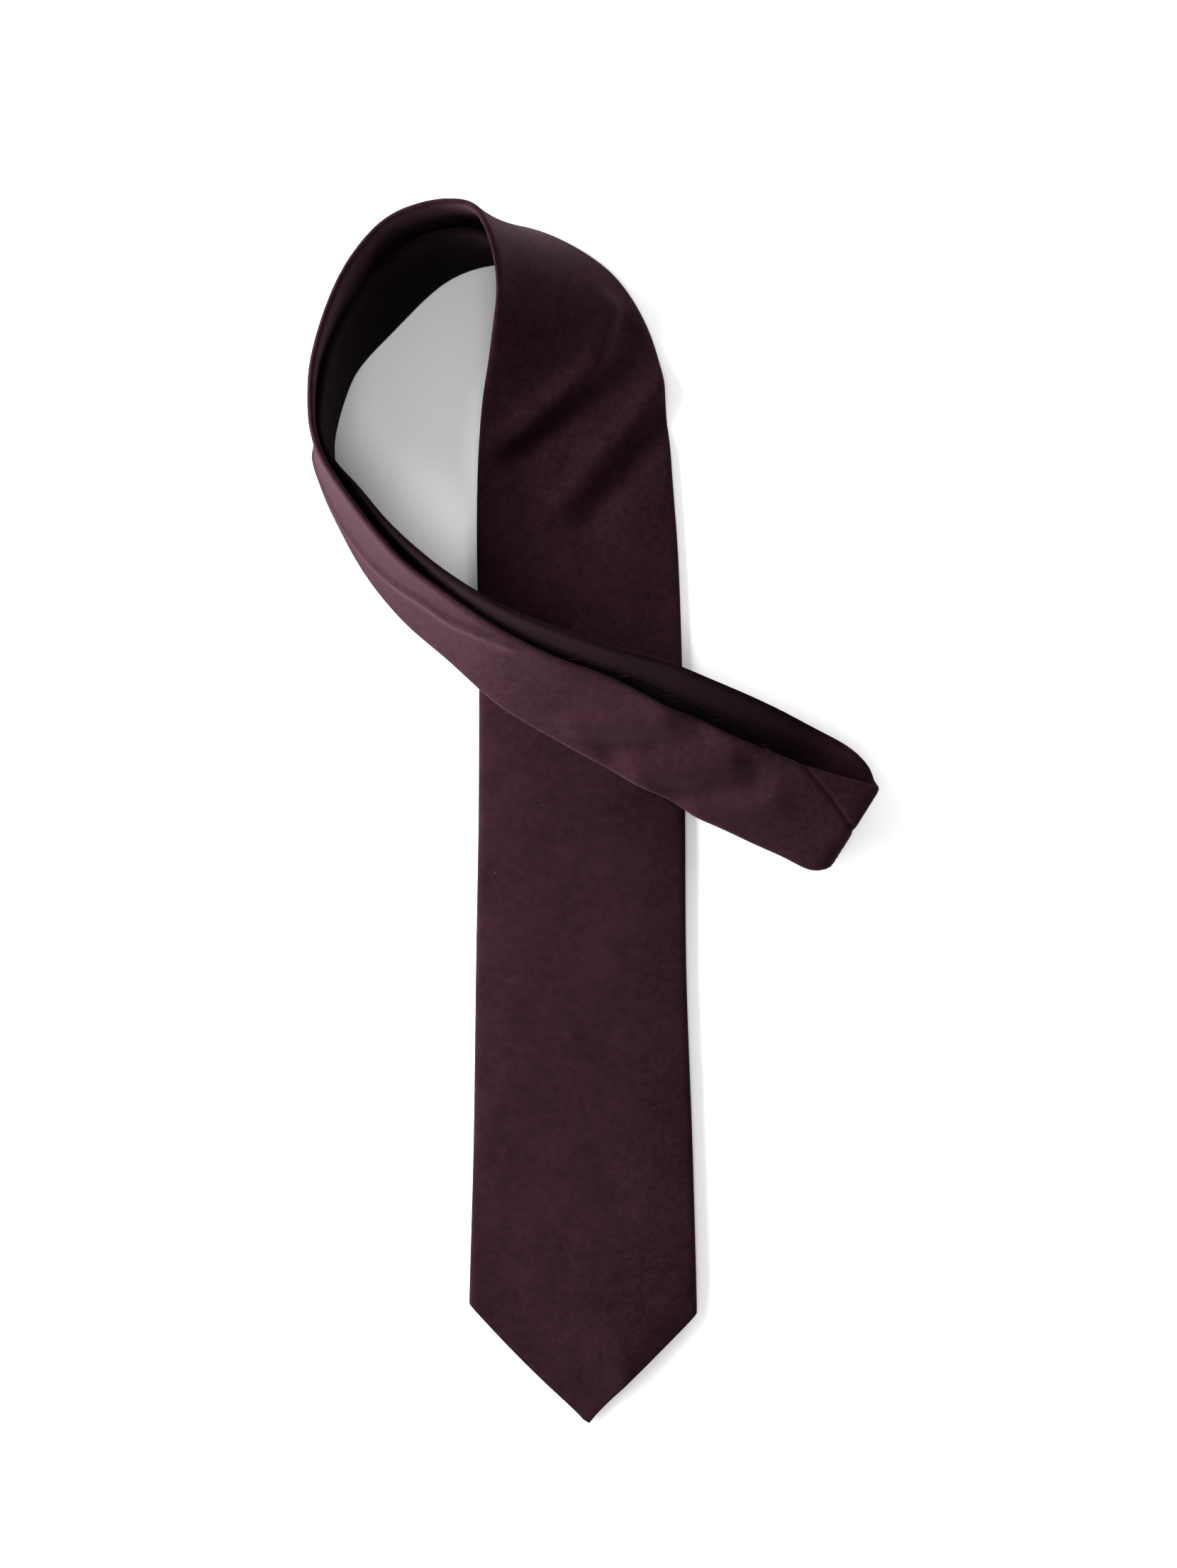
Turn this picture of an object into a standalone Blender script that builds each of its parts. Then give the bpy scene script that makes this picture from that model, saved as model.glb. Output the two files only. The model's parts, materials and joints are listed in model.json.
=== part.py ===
"""A necktie folded in half back to back, its doubled end curled into an open loop that crosses over the
wide blade.  Metres, +Z up, resting on the plane z = 0.

Everything in the tie follows one strip.  The strip has three coordinates:
  s      distance along the tie from the tip of the wide blade,
  v      sideways distance from the middle, positive towards the strip's left edge,
  depth  distance behind the face that shows.
Each layer of the tie is the same strip at its own depth, so the layers stay parallel round every bend.
"""
import math

import bmesh
import bpy
import numpy as np

MM = 0.001

# ---- driving dimensions -------------------------------------------------------------------------------
CLOTH = 0.35 * MM            # shell cloth
LAYER_GAP = 0.25 * MM        # air between two layers
INTERLINING = 0.50 * MM
TIPPING = 0.25 * MM
ROLL_RADIUS = 1.10 * MM      # folded long edge, outside radius
STRAP = 2 * ROLL_RADIUS      # thickness of the finished strap
SLIT_HALF = 0.45 * MM        # half the gap where the back flaps meet
SEAM_GAP = 0.30 * MM         # between two shell pieces that meet end to end

BLADE_TIP_SIDE = -1.6 * MM   # the wide point sits a little to the right of the middle
BLADE_HALF = 40.0 * MM       # half the width at the wide corners
TAIL_HALF = 23.0 * MM        # half the width at the narrow corners
FLAP_SLOPE = 1.6             # how fast the back flaps open towards a tip
BLADE_SKEW_REACH = 165 * MM  # rows are straight across again this far from the wide tip
TAIL_SKEW_REACH = 110 * MM
SNAP = 1.2 * MM              # a row this close to a bias seam moves on to it

LIFT_LINE = 176.0 * MM       # where the loose end of the blade bends up
NECK_SEAM = 778.0 * MM       # bias seam between blade and neck pieces
FOLD_START = 757.0 * MM      # the interlining is in two pieces that stop either side of the fold
FOLD_STOP = 830.0 * MM
TAIL_SEAM = 1245.0 * MM      # bias seam between neck and tail pieces
BLADE_TIPPING_TOP = 95.0 * MM
TAIL_TIPPING_LENGTH = 62.0 * MM

TAIL_MIDDLE_X = 0.0 * MM    # middle of the flat tail where y = 0
TAIL_LEAN = -0.0607          # sideways run of the tail's middle line along y
TAIL_HALF_AT_0 = 22.35 * MM
TAIL_TAPER = -0.0041
BLADE_RISE = 2.80 * MM       # the blade is lifted this much where it lies over the tail
DROOP_FROM = 0.75            # the left side droops from this share of the half width outwards

KEEPER_Y = 8.4 * MM
KEEPER_WIDTH = 10.0 * MM
KEEPER_THICKNESS = 0.35 * MM
KEEPER_DEPTH = STRAP + 0.65 * MM
KEEPER_LIFT = 0.65 * MM      # the tail rides over the keeper by this much
THREAD_RADIUS = 0.15 * MM

ROW_TURN = 0.33              # radians of bend between two rows
ROW_LENGTH = 17.0 * MM       # most distance between two rows
SPLINE_STEPS = 24

# The strip's two long edges, station by station, in millimetres: right x, y, z, then left x, y, z.
WIDE_BLADE = [
    (38.4, -211.8, 2.4, -42.8, -211.8, 2.4),
    (37.5, -170.3, 2.4, -42.1, -170.3, 2.4),
    (36.0, -114.6, 2.4, -40.6, -114.6, 2.4),
    (33.8, -52.6, 2.4, -39.7, -52.6, 2.4),
    (33.3, 8.9, 2.4, -38.7, 8.9, 2.4),
    (32.1, 63.4, 2.4, -38.7, 63.4, 2.4),
    (30.8, 95.4, 2.4, -39.3, 95.4, 2.4),
    (29.3, 115.4, 2.4, -39.1, 115.4, 3.2),
    (28.1, 132.6, 2.4, -38.2, 130.5, 7.5),
]
# The left edge rises and the blade turns up on to its right edge.
TURN_UP = [
    (26.4, 147.5, 2.4, -36.4, 144.2, 15.0),
    (24.4, 161.1, 2.3, -34.0, 154.7, 24.0),
    (19.0, 176.0, 2.1, -31.7, 165.8, 34.0),
    (9.1, 190.7, 1.8, -29.9, 175.6, 43.0),
    (-4.8, 200.8, 1.4, -30.3, 185.4, 49.0),
    (-19.7, 207.0, 1.0, -32.8, 195.0, 51.5),
    (-32.6, 210.3, 0.5, -37.9, 203.1, 50.5),
]
# Outer band of the loop, standing on edge.
OUTER_BAND = [
    (-43.8, 205.9, 0.4, -47.3, 205.0, 49.5),
    (-55.0, 196.5, 0.4, -60.4, 202.3, 48.5),
    (-66.6, 184.5, 0.4, -72.6, 194.2, 47.5),
    (-77.3, 172.9, 0.4, -81.9, 182.2, 46.8),
    (-87.2, 161.2, 0.4, -89.0, 165.6, 46.0),
    (-94.7, 151.8, 0.4, -92.9, 150.6, 45.0),
    (-98.2, 144.3, 0.4, -93.4, 140.2, 44.5),
    (-98.9, 135.6, 0.4, -92.3, 130.7, 44.0),
    (-97.4, 126.2, 0.4, -88.7, 120.3, 43.0),
    (-93.9, 114.5, 0.4, -82.2, 109.1, 41.0),
    (-87.7, 100.9, 0.5, -73.7, 97.9, 39.0),
    (-78.6, 84.7, 0.5, -62.6, 85.9, 36.5),
    (-66.1, 69.3, 0.8, -48.8, 75.9, 34.0),
]
# Front layer of the crossing: it leans back over the wide blade.
CROSSING = [
    (-50.3, 55.5, 2.6, -32.1, 64.6, 32.0),
    (-31.3, 38.8, 7.2, -12.0, 54.5, 31.0),
    (-10.1, 26.2, 8.1, 6.6, 47.8, 30.0),
    (11.9, 14.2, 8.3, 25.0, 38.8, 29.0),
    (35.2, 1.9, 8.3, 45.2, 29.7, 27.5),
    (54.8, -7.9, 8.4, 64.6, 21.6, 25.0),
    (65.9, -12.8, 9.0, 79.3, 16.6, 22.6),
]
# Middle line of the fold, from its lower end to its upper end, and the way the strap points there.
FOLD_LOW = (76.5, -15.8, 5.2)
FOLD_HIGH = (95.0, 13.9, 16.3)
FOLD_HEADING = math.radians(-29)
FOLD_RADIUS = 4.9
FOLD_TURNS = (0, 36, 72, 108, 144, 180)
# Back layer of the crossing, steeper than the front one.
RETURN = [
    (79.1, -9.4, 0.6, 95.3, 19.8, 13.2),
    (74.1, -3.9, 0.6, 88.8, 24.4, 15.0),
    (62.4, 3.8, 1.2, 76.7, 31.4, 18.5),
    (48.3, 14.4, 3.4, 59.9, 40.1, 26.0),
    (30.9, 24.8, 6.3, 40.1, 48.4, 31.0),
    (18.1, 32.6, 6.5, 24.8, 54.4, 33.5),
    (0.9, 38.8, 6.4, 6.5, 59.3, 35.0),
    (-15.4, 47.6, 6.1, -10.9, 65.3, 37.5),
    (-29.5, 61.8, 5.8, -24.7, 70.6, 39.4),
    (-40.4, 68.0, 3.8, -35.8, 76.3, 39.6),
]
# Inner band of the loop, nested inside the outer one.
INNER_BAND = [
    (-56.1, 79.4, 1.0, -51.1, 86.5, 38.4),
    (-70.9, 94.4, 0.3, -66.4, 100.0, 37.9),
    (-82.0, 107.6, 0.3, -77.0, 112.5, 38.0),
    (-87.0, 120.2, 0.3, -83.4, 122.4, 38.2),
    (-87.5, 130.4, 0.3, -86.7, 132.1, 38.3),
    (-86.5, 139.1, 0.3, -87.8, 141.3, 38.5),
    (-85.0, 147.3, 0.3, -87.4, 150.0, 38.6),
    (-81.8, 155.2, 0.3, -85.5, 158.0, 38.6),
    (-76.8, 161.7, 0.3, -81.9, 166.2, 38.6),
    (-70.4, 168.2, 0.3, -76.5, 175.2, 38.6),
    (-63.4, 175.4, 0.3, -70.1, 183.2, 38.7),
    (-56.2, 182.6, 0.3, -63.5, 189.1, 38.8),
    (-48.0, 188.8, 0.3, -53.8, 194.0, 39.0),
    (-38.1, 192.7, 0.3, -42.7, 195.8, 39.3),
    (-27.2, 194.0, 0.3, -33.4, 193.6, 38.6),
]
# It turns down under the blade and lies flat, show face on the table.
TURN_DOWN = [
    (-17.2, 192.0, 0.3, -30.1, 188.2, 37.3),
    (-7.0, 186.8, 0.3, -28.1, 181.6, 33.2),
    (1.6, 178.3, 0.3, -27.9, 173.3, 28.0),
    (8.1, 167.2, 0.3, -28.7, 164.0, 19.5),
    (11.8, 154.5, 0.2, -29.5, 153.5, 11.0),
    (13.8, 140.1, 0.1, -29.7, 140.0, 4.0),
    (14.3, 123.4, 0.0, -29.3, 123.4, 0.5),
    (15.8, 101.4, 0.0, -28.1, 101.4, 0.0),
]
TAIL_STATION_Y = (53.4, 3.4, -46.6, -96.6, -146.6, -181.1)   # the last one is the tail's tip


def eased(t):
    """0 below 0, 1 above 1, and a smooth change between."""
    t = np.clip(t, 0.0, 1.0)
    return t * t * (3.0 - 2.0 * t)


# ---- the strip ----------------------------------------------------------------------------------------
def tail_half(y):
    return TAIL_HALF_AT_0 + TAIL_TAPER * y


def tail_middle(y):
    return TAIL_MIDDLE_X + TAIL_LEAN * y


def fold_stations():
    """Stations round the half turn at the far end of the crossing, as on a slanting rod."""
    low, high = np.array(FOLD_LOW), np.array(FOLD_HIGH)
    across = (high - low) / np.linalg.norm(high - low)
    along = np.array((math.cos(FOLD_HEADING), math.sin(FOLD_HEADING), 0.0))
    along -= across * along.dot(across)
    along /= np.linalg.norm(along)
    outward = np.cross(along, across)
    rows = []
    for turn in FOLD_TURNS:
        angle = math.radians(turn)
        offset = FOLD_RADIUS * (math.cos(angle) * outward + math.sin(angle) * along)
        rows.append(tuple(low + offset) + tuple(high + offset))
    return rows


def tail_stations():
    rows = []
    for y in TAIL_STATION_Y:
        middle, half = tail_middle(y * MM) / MM, tail_half(y * MM) / MM
        rows.append((middle + half, y, 0.0, middle - half, y, 0.0))
    return rows


def spline_table():
    """Both edges sampled closely, and the distance along the strip at each sample."""
    stations = WIDE_BLADE + TURN_UP + OUTER_BAND + CROSSING + fold_stations()
    stations = np.array(stations + RETURN + INNER_BAND + TURN_DOWN + tail_stations()) * MM
    middles = (stations[:, :3] + stations[:, 3:]) / 2
    gaps = np.sqrt(np.linalg.norm(np.diff(middles, axis=0), axis=1))
    knots = np.concatenate([[0.0], np.cumsum(gaps)])
    slopes = np.zeros_like(stations)
    for i in range(len(stations)):
        before, after = max(i - 1, 0), min(i + 1, len(stations) - 1)
        if before == i or after == i:
            slopes[i] = (stations[after] - stations[before]) / (knots[after] - knots[before])
            continue
        back = (stations[i] - stations[before]) / gaps[before]
        ahead = (stations[after] - stations[i]) / gaps[i]
        slopes[i] = (back * gaps[i] + ahead * gaps[before]) / (gaps[before] + gaps[i])
    samples = []
    for i, gap in enumerate(gaps):
        for u in np.arange(SPLINE_STEPS) / SPLINE_STEPS:
            keep, lead = 2 * u**3 - 3 * u**2 + 1, u**3 - 2 * u**2 + u
            samples.append(keep * stations[i] + (1 - keep) * stations[i + 1]
                           + gap * (lead * slopes[i] + (u**3 - u**2) * slopes[i + 1]))
    samples.append(stations[-1])
    samples = np.array(samples)
    samples[:, 2] = np.maximum(samples[:, 2], 0.0)
    samples[:, 5] = np.maximum(samples[:, 5], 0.0)
    middles = (samples[:, :3] + samples[:, 3:]) / 2
    steps = np.linalg.norm(np.diff(middles, axis=0), axis=1)
    return samples, np.concatenate([[0.0], np.cumsum(steps)])


EDGES, ALONG = spline_table()
LENGTH = float(ALONG[-1])


def edges_at(s):
    both = np.stack([np.interp(s, ALONG, EDGES[:, k]) for k in range(6)], axis=-1)
    return both[..., :3], both[..., 3:]


def half_width(s):
    right, left = edges_at(s)
    return np.linalg.norm(left - right, axis=-1) / 2


def keeper_lift(y):
    """Extra height where the keeper passes under the tail."""
    return KEEPER_LIFT * (1.0 - eased((np.abs(y - KEEPER_Y) - 20 * MM) / (45 * MM)))


def blade_rise(s, v, y):
    """How far the blade is lifted by the tail beneath it; its left edge hangs down past the tail."""
    outward = v / (half_width(s) - ROLL_RADIUS)
    droop = np.clip((outward - DROOP_FROM) / (1.0 - DROOP_FROM), 0.0, 1.0)
    return (BLADE_RISE * (1.0 - droop) + keeper_lift(y)) * (1 - eased((s - 0.350) / 0.050))


def strip(s, v, depth):
    """World points of the strip at (s, v, depth); the three may be arrays of one shape."""
    s, v, depth = np.broadcast_arrays(np.asarray(s, float), v, depth)
    right, left = edges_at(s)
    share = (0.5 + v / (2 * half_width(s)))[..., None]
    point = right * (1 - share) + left * share
    reach = 0.3 * MM
    low, high = np.clip(s - reach, 0, LENGTH), np.clip(s + reach, 0, LENGTH)
    right_low, left_low = edges_at(low)
    right_high, left_high = edges_at(high)
    ahead = (right_high - right_low) * (1 - share) + (left_high - left_low) * share
    normal = np.cross(ahead, left - right)
    normal /= np.linalg.norm(normal, axis=-1, keepdims=True)
    y = point[..., 1]
    rise = np.where(s < 0.5, blade_rise(s, v, y), keeper_lift(y) * eased((s - 1.150) / 0.050))
    point = point - normal * depth[..., None]
    point[..., 2] += rise
    return point


def strip_rows():
    """Distances along the strip where rows of faces go: close together where it bends or twists."""
    ahead = np.diff(EDGES, axis=0)
    across = EDGES[:-1, 3:] - EDGES[:-1, :3]
    rows, turned, last = [0.0], 0.0, 0.0
    for i in range(1, len(ahead)):
        bends = []
        for part in (ahead[:, :3], ahead[:, 3:], across):
            a, b = part[i - 1], part[i]
            cosine = a.dot(b) / (np.linalg.norm(a) * np.linalg.norm(b) + 1e-15)
            bends.append(math.acos(min(1.0, max(-1.0, cosine))))
        turned += max(bends)
        if turned > ROW_TURN or ALONG[i] - last > ROW_LENGTH:
            rows.append(float(ALONG[i]))
            turned, last = 0.0, float(ALONG[i])
    if LENGTH - rows[-1] < 0.004:
        rows.pop()
    return np.array(rows + [LENGTH])


ROWS = strip_rows()


def rows_between(start, stop, least=2.0 * MM):
    inside = [s for s in ROWS if start + least < s < stop - least]
    return np.array([start] + inside + [stop])


# ---- end shapes ---------------------------------------------------------------------------------------
def pointed(v, half, turned_in, tip):
    """Distance of a piece's end from the tip: a right-angled point, then back flaps that open apart."""
    return np.where(turned_in > 0, half + FLAP_SLOPE * turned_in, np.abs(v - tip))


def bias_offset(v, half, turned_in):
    """How far a seam at 45 degrees across the opened-out cloth runs back at this place."""
    unfolded = abs(v) if turned_in <= 0 else half + turned_in
    return -math.copysign(unfolded, v)


# ---- meshes -------------------------------------------------------------------------------------------
def finish(name, mesh_data, colour, roughness, parent=None):
    """Turn a bmesh into a named object with its own material."""
    bmesh.ops.recalc_face_normals(mesh_data, faces=mesh_data.faces)
    mesh = bpy.data.meshes.new(name)
    mesh_data.to_mesh(mesh)
    mesh_data.free()
    mesh.shade_smooth()
    mesh.set_sharp_from_angle(angle=math.radians(40))
    material = bpy.data.materials.new(name)
    material.use_nodes = True
    shader = material.node_tree.nodes["Principled BSDF"]
    shader.inputs["Base Color"].default_value = (*colour, 1.0)
    shader.inputs["Roughness"].default_value = roughness
    shader.inputs["Metallic"].default_value = 0.0
    mesh.materials.append(material)
    obj = bpy.data.objects.new(name, mesh)
    bpy.context.scene.collection.objects.link(obj)
    if parent is not None:
        obj.parent = parent
        obj.matrix_parent_inverse = parent.matrix_world.inverted()
    return obj


def closed_sheet(outer, inner):
    """A closed solid between two grids of points with the same rows and columns."""
    data = bmesh.new()
    count, width = outer.shape[:2]
    top = [[data.verts.new(p) for p in row] for row in outer]
    low = [[data.verts.new(p) for p in row] for row in inner]
    for i in range(count - 1):
        for j in range(width - 1):
            for grid in (top, low):
                a, b = grid[i][j], grid[i][j + 1]
                c, d = grid[i + 1][j + 1], grid[i + 1][j]
                data.faces.new((a, b, c))
                data.faces.new((a, c, d))
    for i in range(count - 1):
        data.faces.new((top[i][0], top[i + 1][0], low[i + 1][0], low[i][0]))
        data.faces.new((top[i][-1], low[i][-1], low[i + 1][-1], top[i + 1][-1]))
    for j in range(width - 1):
        data.faces.new((top[0][j], low[0][j], low[0][j + 1], top[0][j + 1]))
        data.faces.new((top[-1][j], top[-1][j + 1], low[-1][j + 1], low[-1][j]))
    bmesh.ops.remove_doubles(data, verts=data.verts, dist=1e-6)
    return data


WIDE_COLUMNS = 8             # faces across the front of the blade pieces
NARROW_COLUMNS = 6           # and across the rest
ROLL_TURNS = (45, 90, 135, 180)
FLAP_SHARES = (0.25, 0.6, 1.0)


def front_shares(columns):
    return [2.0 * k / columns - 1.0 for k in range(columns + 1)]


def shell_section(half, columns):
    """Mid-line of the shell's cross-section for each half width: v, depth, the offset to the cloth's
    outer side, and how far each point is turned in behind the front."""
    mid_radius = ROLL_RADIUS - CLOTH / 2
    edge = half - ROLL_RADIUS
    flap_depth = 2 * ROLL_RADIUS - CLOTH / 2
    left = []
    for degrees in ROLL_TURNS:
        angle = math.radians(degrees)
        left.append((edge + mid_radius * math.sin(angle), ROLL_RADIUS - mid_radius * math.cos(angle),
                     math.sin(angle), -math.cos(angle), 0 * half + 1e-6))
    for share in FLAP_SHARES:
        in_by = (edge - SLIT_HALF) * share
        left.append((edge - in_by, 0 * half + flap_depth, 0.0, 1.0, in_by))
    front = [(edge * share, 0 * half + CLOTH / 2, 0.0, -1.0, 0 * half) for share in front_shares(columns)]
    right = [(-v, depth, -side, back, turned) for v, depth, side, back, turned in reversed(left)]
    return right + front + left


def shell(name, start, stop, columns, ends, tip=0.0, reach=1.0, parent=None):
    """One piece of the outer cloth: front, both rolled edges and both back flaps.

    Each end is square, pointed or bias.  Rows near a pointed end lean over with it; a bias end cuts
    across the straight rows.
    """
    widths = [float(half_width(start)), float(half_width(stop))]
    spill = [2 * half if end == "bias" else 0.0 for half, end in zip(widths, ends)]
    rows = rows_between(start - spill[0], stop + spill[1])
    at_start, at_stop = shell_section(widths[0], columns), shell_section(widths[1], columns)
    outer, inner = [], []
    for row in rows:
        tops, lows = [], []
        for column, (first, last) in enumerate(zip(at_start, at_stop)):
            at = row
            if ends[0] == "pointed":
                lean = max(0.0, 1 - (row - start) / reach)
                at += lean * float(pointed(first[0], widths[0], first[4], tip))
            if ends[1] == "pointed":
                lean = max(0.0, 1 - (stop - row) / reach)
                at -= lean * float(pointed(last[0], widths[1], last[4], tip))
            if ends[0] == "bias":
                limit = start + bias_offset(first[0], widths[0], first[4])
                at = limit if at < limit + SNAP else at
            if ends[1] == "bias":
                limit = stop + bias_offset(last[0], widths[1], last[4])
                at = limit if at > limit - SNAP else at
            v, depth, side, back, _ = shell_section(float(half_width(at)), columns)[column]
            tops.append(strip(at, v + side * CLOTH / 2, depth + back * CLOTH / 2))
            lows.append(strip(at, v - side * CLOTH / 2, depth - back * CLOTH / 2))
        outer.append(tops)
        inner.append(lows)
    data = closed_sheet(np.array(outer), np.array(inner))
    return finish(name, data, AUBERGINE, 0.85, parent)


def layer(name, start, stop, columns, depth, thickness, margin, ends, colour, tip=0.0, reach=1.0,
          parent=None):
    """A flat inner layer that follows the strip."""
    rows = rows_between(start, stop)
    outer, inner = [], []
    for row in rows:
        tops, lows = [], []
        for share in front_shares(columns):
            at = row
            v = (float(half_width(row)) - margin) * share
            if ends[0] == "pointed":
                at += max(0.0, 1 - (row - start) / reach) * abs(v - tip)
            if ends[1] == "pointed":
                at -= max(0.0, 1 - (stop - row) / reach) * abs(v - tip)
            v = (float(half_width(at)) - margin) * share
            tops.append(strip(at, v, depth))
            lows.append(strip(at, v, depth + thickness))
        outer.append(tops)
        inner.append(lows)
    data = closed_sheet(np.array(outer), np.array(inner))
    return finish(name, data, colour, 0.95, parent)


def tube_along_strip(name, start, stop, depth, colour, parent=None):
    """Sewing thread that runs along the slit between the back flaps."""
    data = bmesh.new()
    rings = []
    for s in rows_between(start, stop):
        ring = []
        for quarter in range(4):
            angle = math.radians(90 * quarter)
            side, back = THREAD_RADIUS * math.cos(angle), THREAD_RADIUS * math.sin(angle)
            ring.append(data.verts.new(strip(s, side, depth + back)))
        rings.append(ring)
    for before, after in zip(rings, rings[1:]):
        for k in range(4):
            data.faces.new((before[k], before[(k + 1) % 4], after[(k + 1) % 4], after[k]))
    data.faces.new(rings[0])
    data.faces.new(rings[-1])
    return finish(name, data, colour, 0.6, parent)


def strip_block(name, s_range, v_range, depth_range, colour, parent=None):
    """A small block set into the strip, such as a bar tack."""
    s_low, s_high = s_range
    v_low, v_high = v_range
    corners = [(s_low, v_low), (s_low, v_high), (s_high, v_low), (s_high, v_high)]
    outer = np.array([strip(s, v, depth_range[0]) for s, v in corners]).reshape(2, 2, 3)
    inner = np.array([strip(s, v, depth_range[1]) for s, v in corners]).reshape(2, 2, 3)
    return finish(name, closed_sheet(outer, inner), colour, 0.6, parent)


def thread_loop(name, s_middle, depth, colour, parent=None):
    """Spare loop of sewing thread lying in the open end of the back."""
    data = bmesh.new()
    around, sides, radius = 14, 4, 1.5 * MM
    rings = []
    for i in range(around):
        turn = math.tau * i / around
        ring = []
        for k in range(sides):
            angle = math.tau * k / sides
            out = radius + THREAD_RADIUS * math.cos(angle)
            ring.append(data.verts.new(strip(s_middle + out * math.cos(turn), out * math.sin(turn),
                                             depth + THREAD_RADIUS * math.sin(angle))))
        rings.append(ring)
    for i in range(around):
        before, after = rings[i], rings[(i + 1) % around]
        for k in range(sides):
            data.faces.new((before[k], before[(k + 1) % sides], after[(k + 1) % sides], after[k]))
    return finish(name, data, colour, 0.6, parent)


def keeper(name, s_middle, colour):
    """Loop of cloth across the back of the blade, with the tail threaded through it."""
    y = KEEPER_Y
    tail_left = float(tail_middle(y) - tail_half(y))
    tail_right = float(tail_middle(y) + tail_half(y))
    blade_middle = float(strip(s_middle, 0.0, 0.0)[0])
    run = 0.20 * MM
    left, right = [], []
    for beyond in (10.0, 7.6, 5.2, 3.6):
        for side, path in ((-1, left), (1, right)):
            edge = tail_left if side < 0 else tail_right
            x = edge + side * beyond * MM
            z = float(strip(s_middle, -(x - blade_middle), KEEPER_DEPTH + KEEPER_THICKNESS / 2)[2])
            path.append((x, z))
    for beyond, z in ((1.9, 1.35 * MM), (0.9, 0.5 * MM), (-0.8, run)):
        left.append((tail_left - beyond * MM, z))
        right.append((tail_right + beyond * MM, z))
    path = np.array(left + right[::-1])
    ahead = np.gradient(path, axis=0)
    ahead /= np.linalg.norm(ahead, axis=1, keepdims=True)
    normal = np.stack([-ahead[:, 1], ahead[:, 0]], axis=1) * KEEPER_THICKNESS / 2
    outer, inner = [], []
    for edge_y in (y - KEEPER_WIDTH / 2, y + KEEPER_WIDTH / 2):
        outer.append([(p[0], edge_y, p[1]) for p in path + normal])
        inner.append([(p[0], edge_y, p[1]) for p in path - normal])
    return finish(name, closed_sheet(np.array(outer), np.array(inner)), colour, 0.8)


# ---- build --------------------------------------------------------------------------------------------
for existing in list(bpy.data.objects):
    bpy.data.objects.remove(existing, do_unlink=True)

AUBERGINE = (0.042, 0.019, 0.027)
LINING = (0.030, 0.014, 0.020)
WOOL = (0.42, 0.38, 0.33)
THREAD = (0.050, 0.022, 0.032)

axis_point = strip(LIFT_LINE, 0.0, 0.0)
lift_axis = bpy.data.objects.new("blade_lift_axis", None)
lift_axis.location = (0.0, float(axis_point[1]), float(axis_point[2]) + 0.2 * MM)
bpy.context.scene.collection.objects.link(lift_axis)
bpy.context.view_layer.update()

half_seam = SEAM_GAP / 2
core_depth = CLOTH + LAYER_GAP
tipping_depth = core_depth + INTERLINING + LAYER_GAP
flap_depth = tipping_depth + TIPPING + LAYER_GAP
blade_apex = BLADE_HALF + FLAP_SLOPE * (BLADE_HALF - ROLL_RADIUS - SLIT_HALF)
tail_apex = LENGTH - TAIL_HALF - FLAP_SLOPE * (TAIL_HALF - ROLL_RADIUS - SLIT_HALF)

shell("blade_shell_end", 0.0, LIFT_LINE - half_seam, WIDE_COLUMNS, ("pointed", "square"),
      BLADE_TIP_SIDE, BLADE_SKEW_REACH, lift_axis)
shell("blade_shell", LIFT_LINE + half_seam, NECK_SEAM - half_seam, WIDE_COLUMNS, ("square", "bias"))
shell("neck_shell", NECK_SEAM + half_seam, TAIL_SEAM - half_seam, NARROW_COLUMNS, ("bias", "bias"))
shell("tail_shell", TAIL_SEAM + half_seam, LENGTH, NARROW_COLUMNS, ("bias", "pointed"), 0.0,
      TAIL_SKEW_REACH)

core_margin = ROLL_RADIUS + 0.15 * MM
core_inset = 2.6 * MM
layer("interlining_end", core_inset, LIFT_LINE - half_seam, WIDE_COLUMNS, core_depth, INTERLINING,
      core_margin, ("pointed", "square"), WOOL, BLADE_TIP_SIDE, BLADE_SKEW_REACH, lift_axis)
layer("interlining_blade", LIFT_LINE + half_seam, FOLD_START, WIDE_COLUMNS, core_depth, INTERLINING,
      core_margin, ("square", "square"), WOOL)
layer("interlining_tail", FOLD_STOP, LENGTH - core_inset, NARROW_COLUMNS, core_depth, INTERLINING,
      core_margin, ("square", "pointed"), WOOL, 0.0, TAIL_SKEW_REACH)
tipping_margin, tipping_inset = 1.6 * MM, 1.6 * MM
layer("blade_tipping", tipping_inset, BLADE_TIPPING_TOP, WIDE_COLUMNS, tipping_depth, TIPPING,
      tipping_margin, ("pointed", "square"), LINING, BLADE_TIP_SIDE, BLADE_SKEW_REACH, lift_axis)
layer("tail_tipping", LENGTH - TAIL_TIPPING_LENGTH, LENGTH - tipping_inset, NARROW_COLUMNS,
      tipping_depth, TIPPING, tipping_margin, ("square", "pointed"), LINING, 0.0, TAIL_SKEW_REACH)

stitch_depth = flap_depth + CLOTH / 2
tube_along_strip("slip_stitch_end", blade_apex + 3 * MM, LIFT_LINE - 1 * MM, stitch_depth, THREAD,
                 lift_axis)
tube_along_strip("slip_stitch", LIFT_LINE + 1 * MM, tail_apex - 3 * MM, stitch_depth, THREAD)
tack_depths = (flap_depth, flap_depth + CLOTH)
strip_block("blade_bar_tack", (blade_apex - 5.2 * MM, blade_apex - 3.4 * MM), (-1.4 * MM, 1.4 * MM),
            tack_depths, THREAD, lift_axis)
strip_block("tail_bar_tack", (tail_apex + 3.4 * MM, tail_apex + 5.2 * MM), (-1.4 * MM, 1.4 * MM),
            tack_depths, THREAD)
thread_loop("blade_thread_loop", blade_apex - 12 * MM, stitch_depth, THREAD, lift_axis)
thread_loop("tail_thread_loop", tail_apex + 12 * MM, stitch_depth, THREAD)

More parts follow.
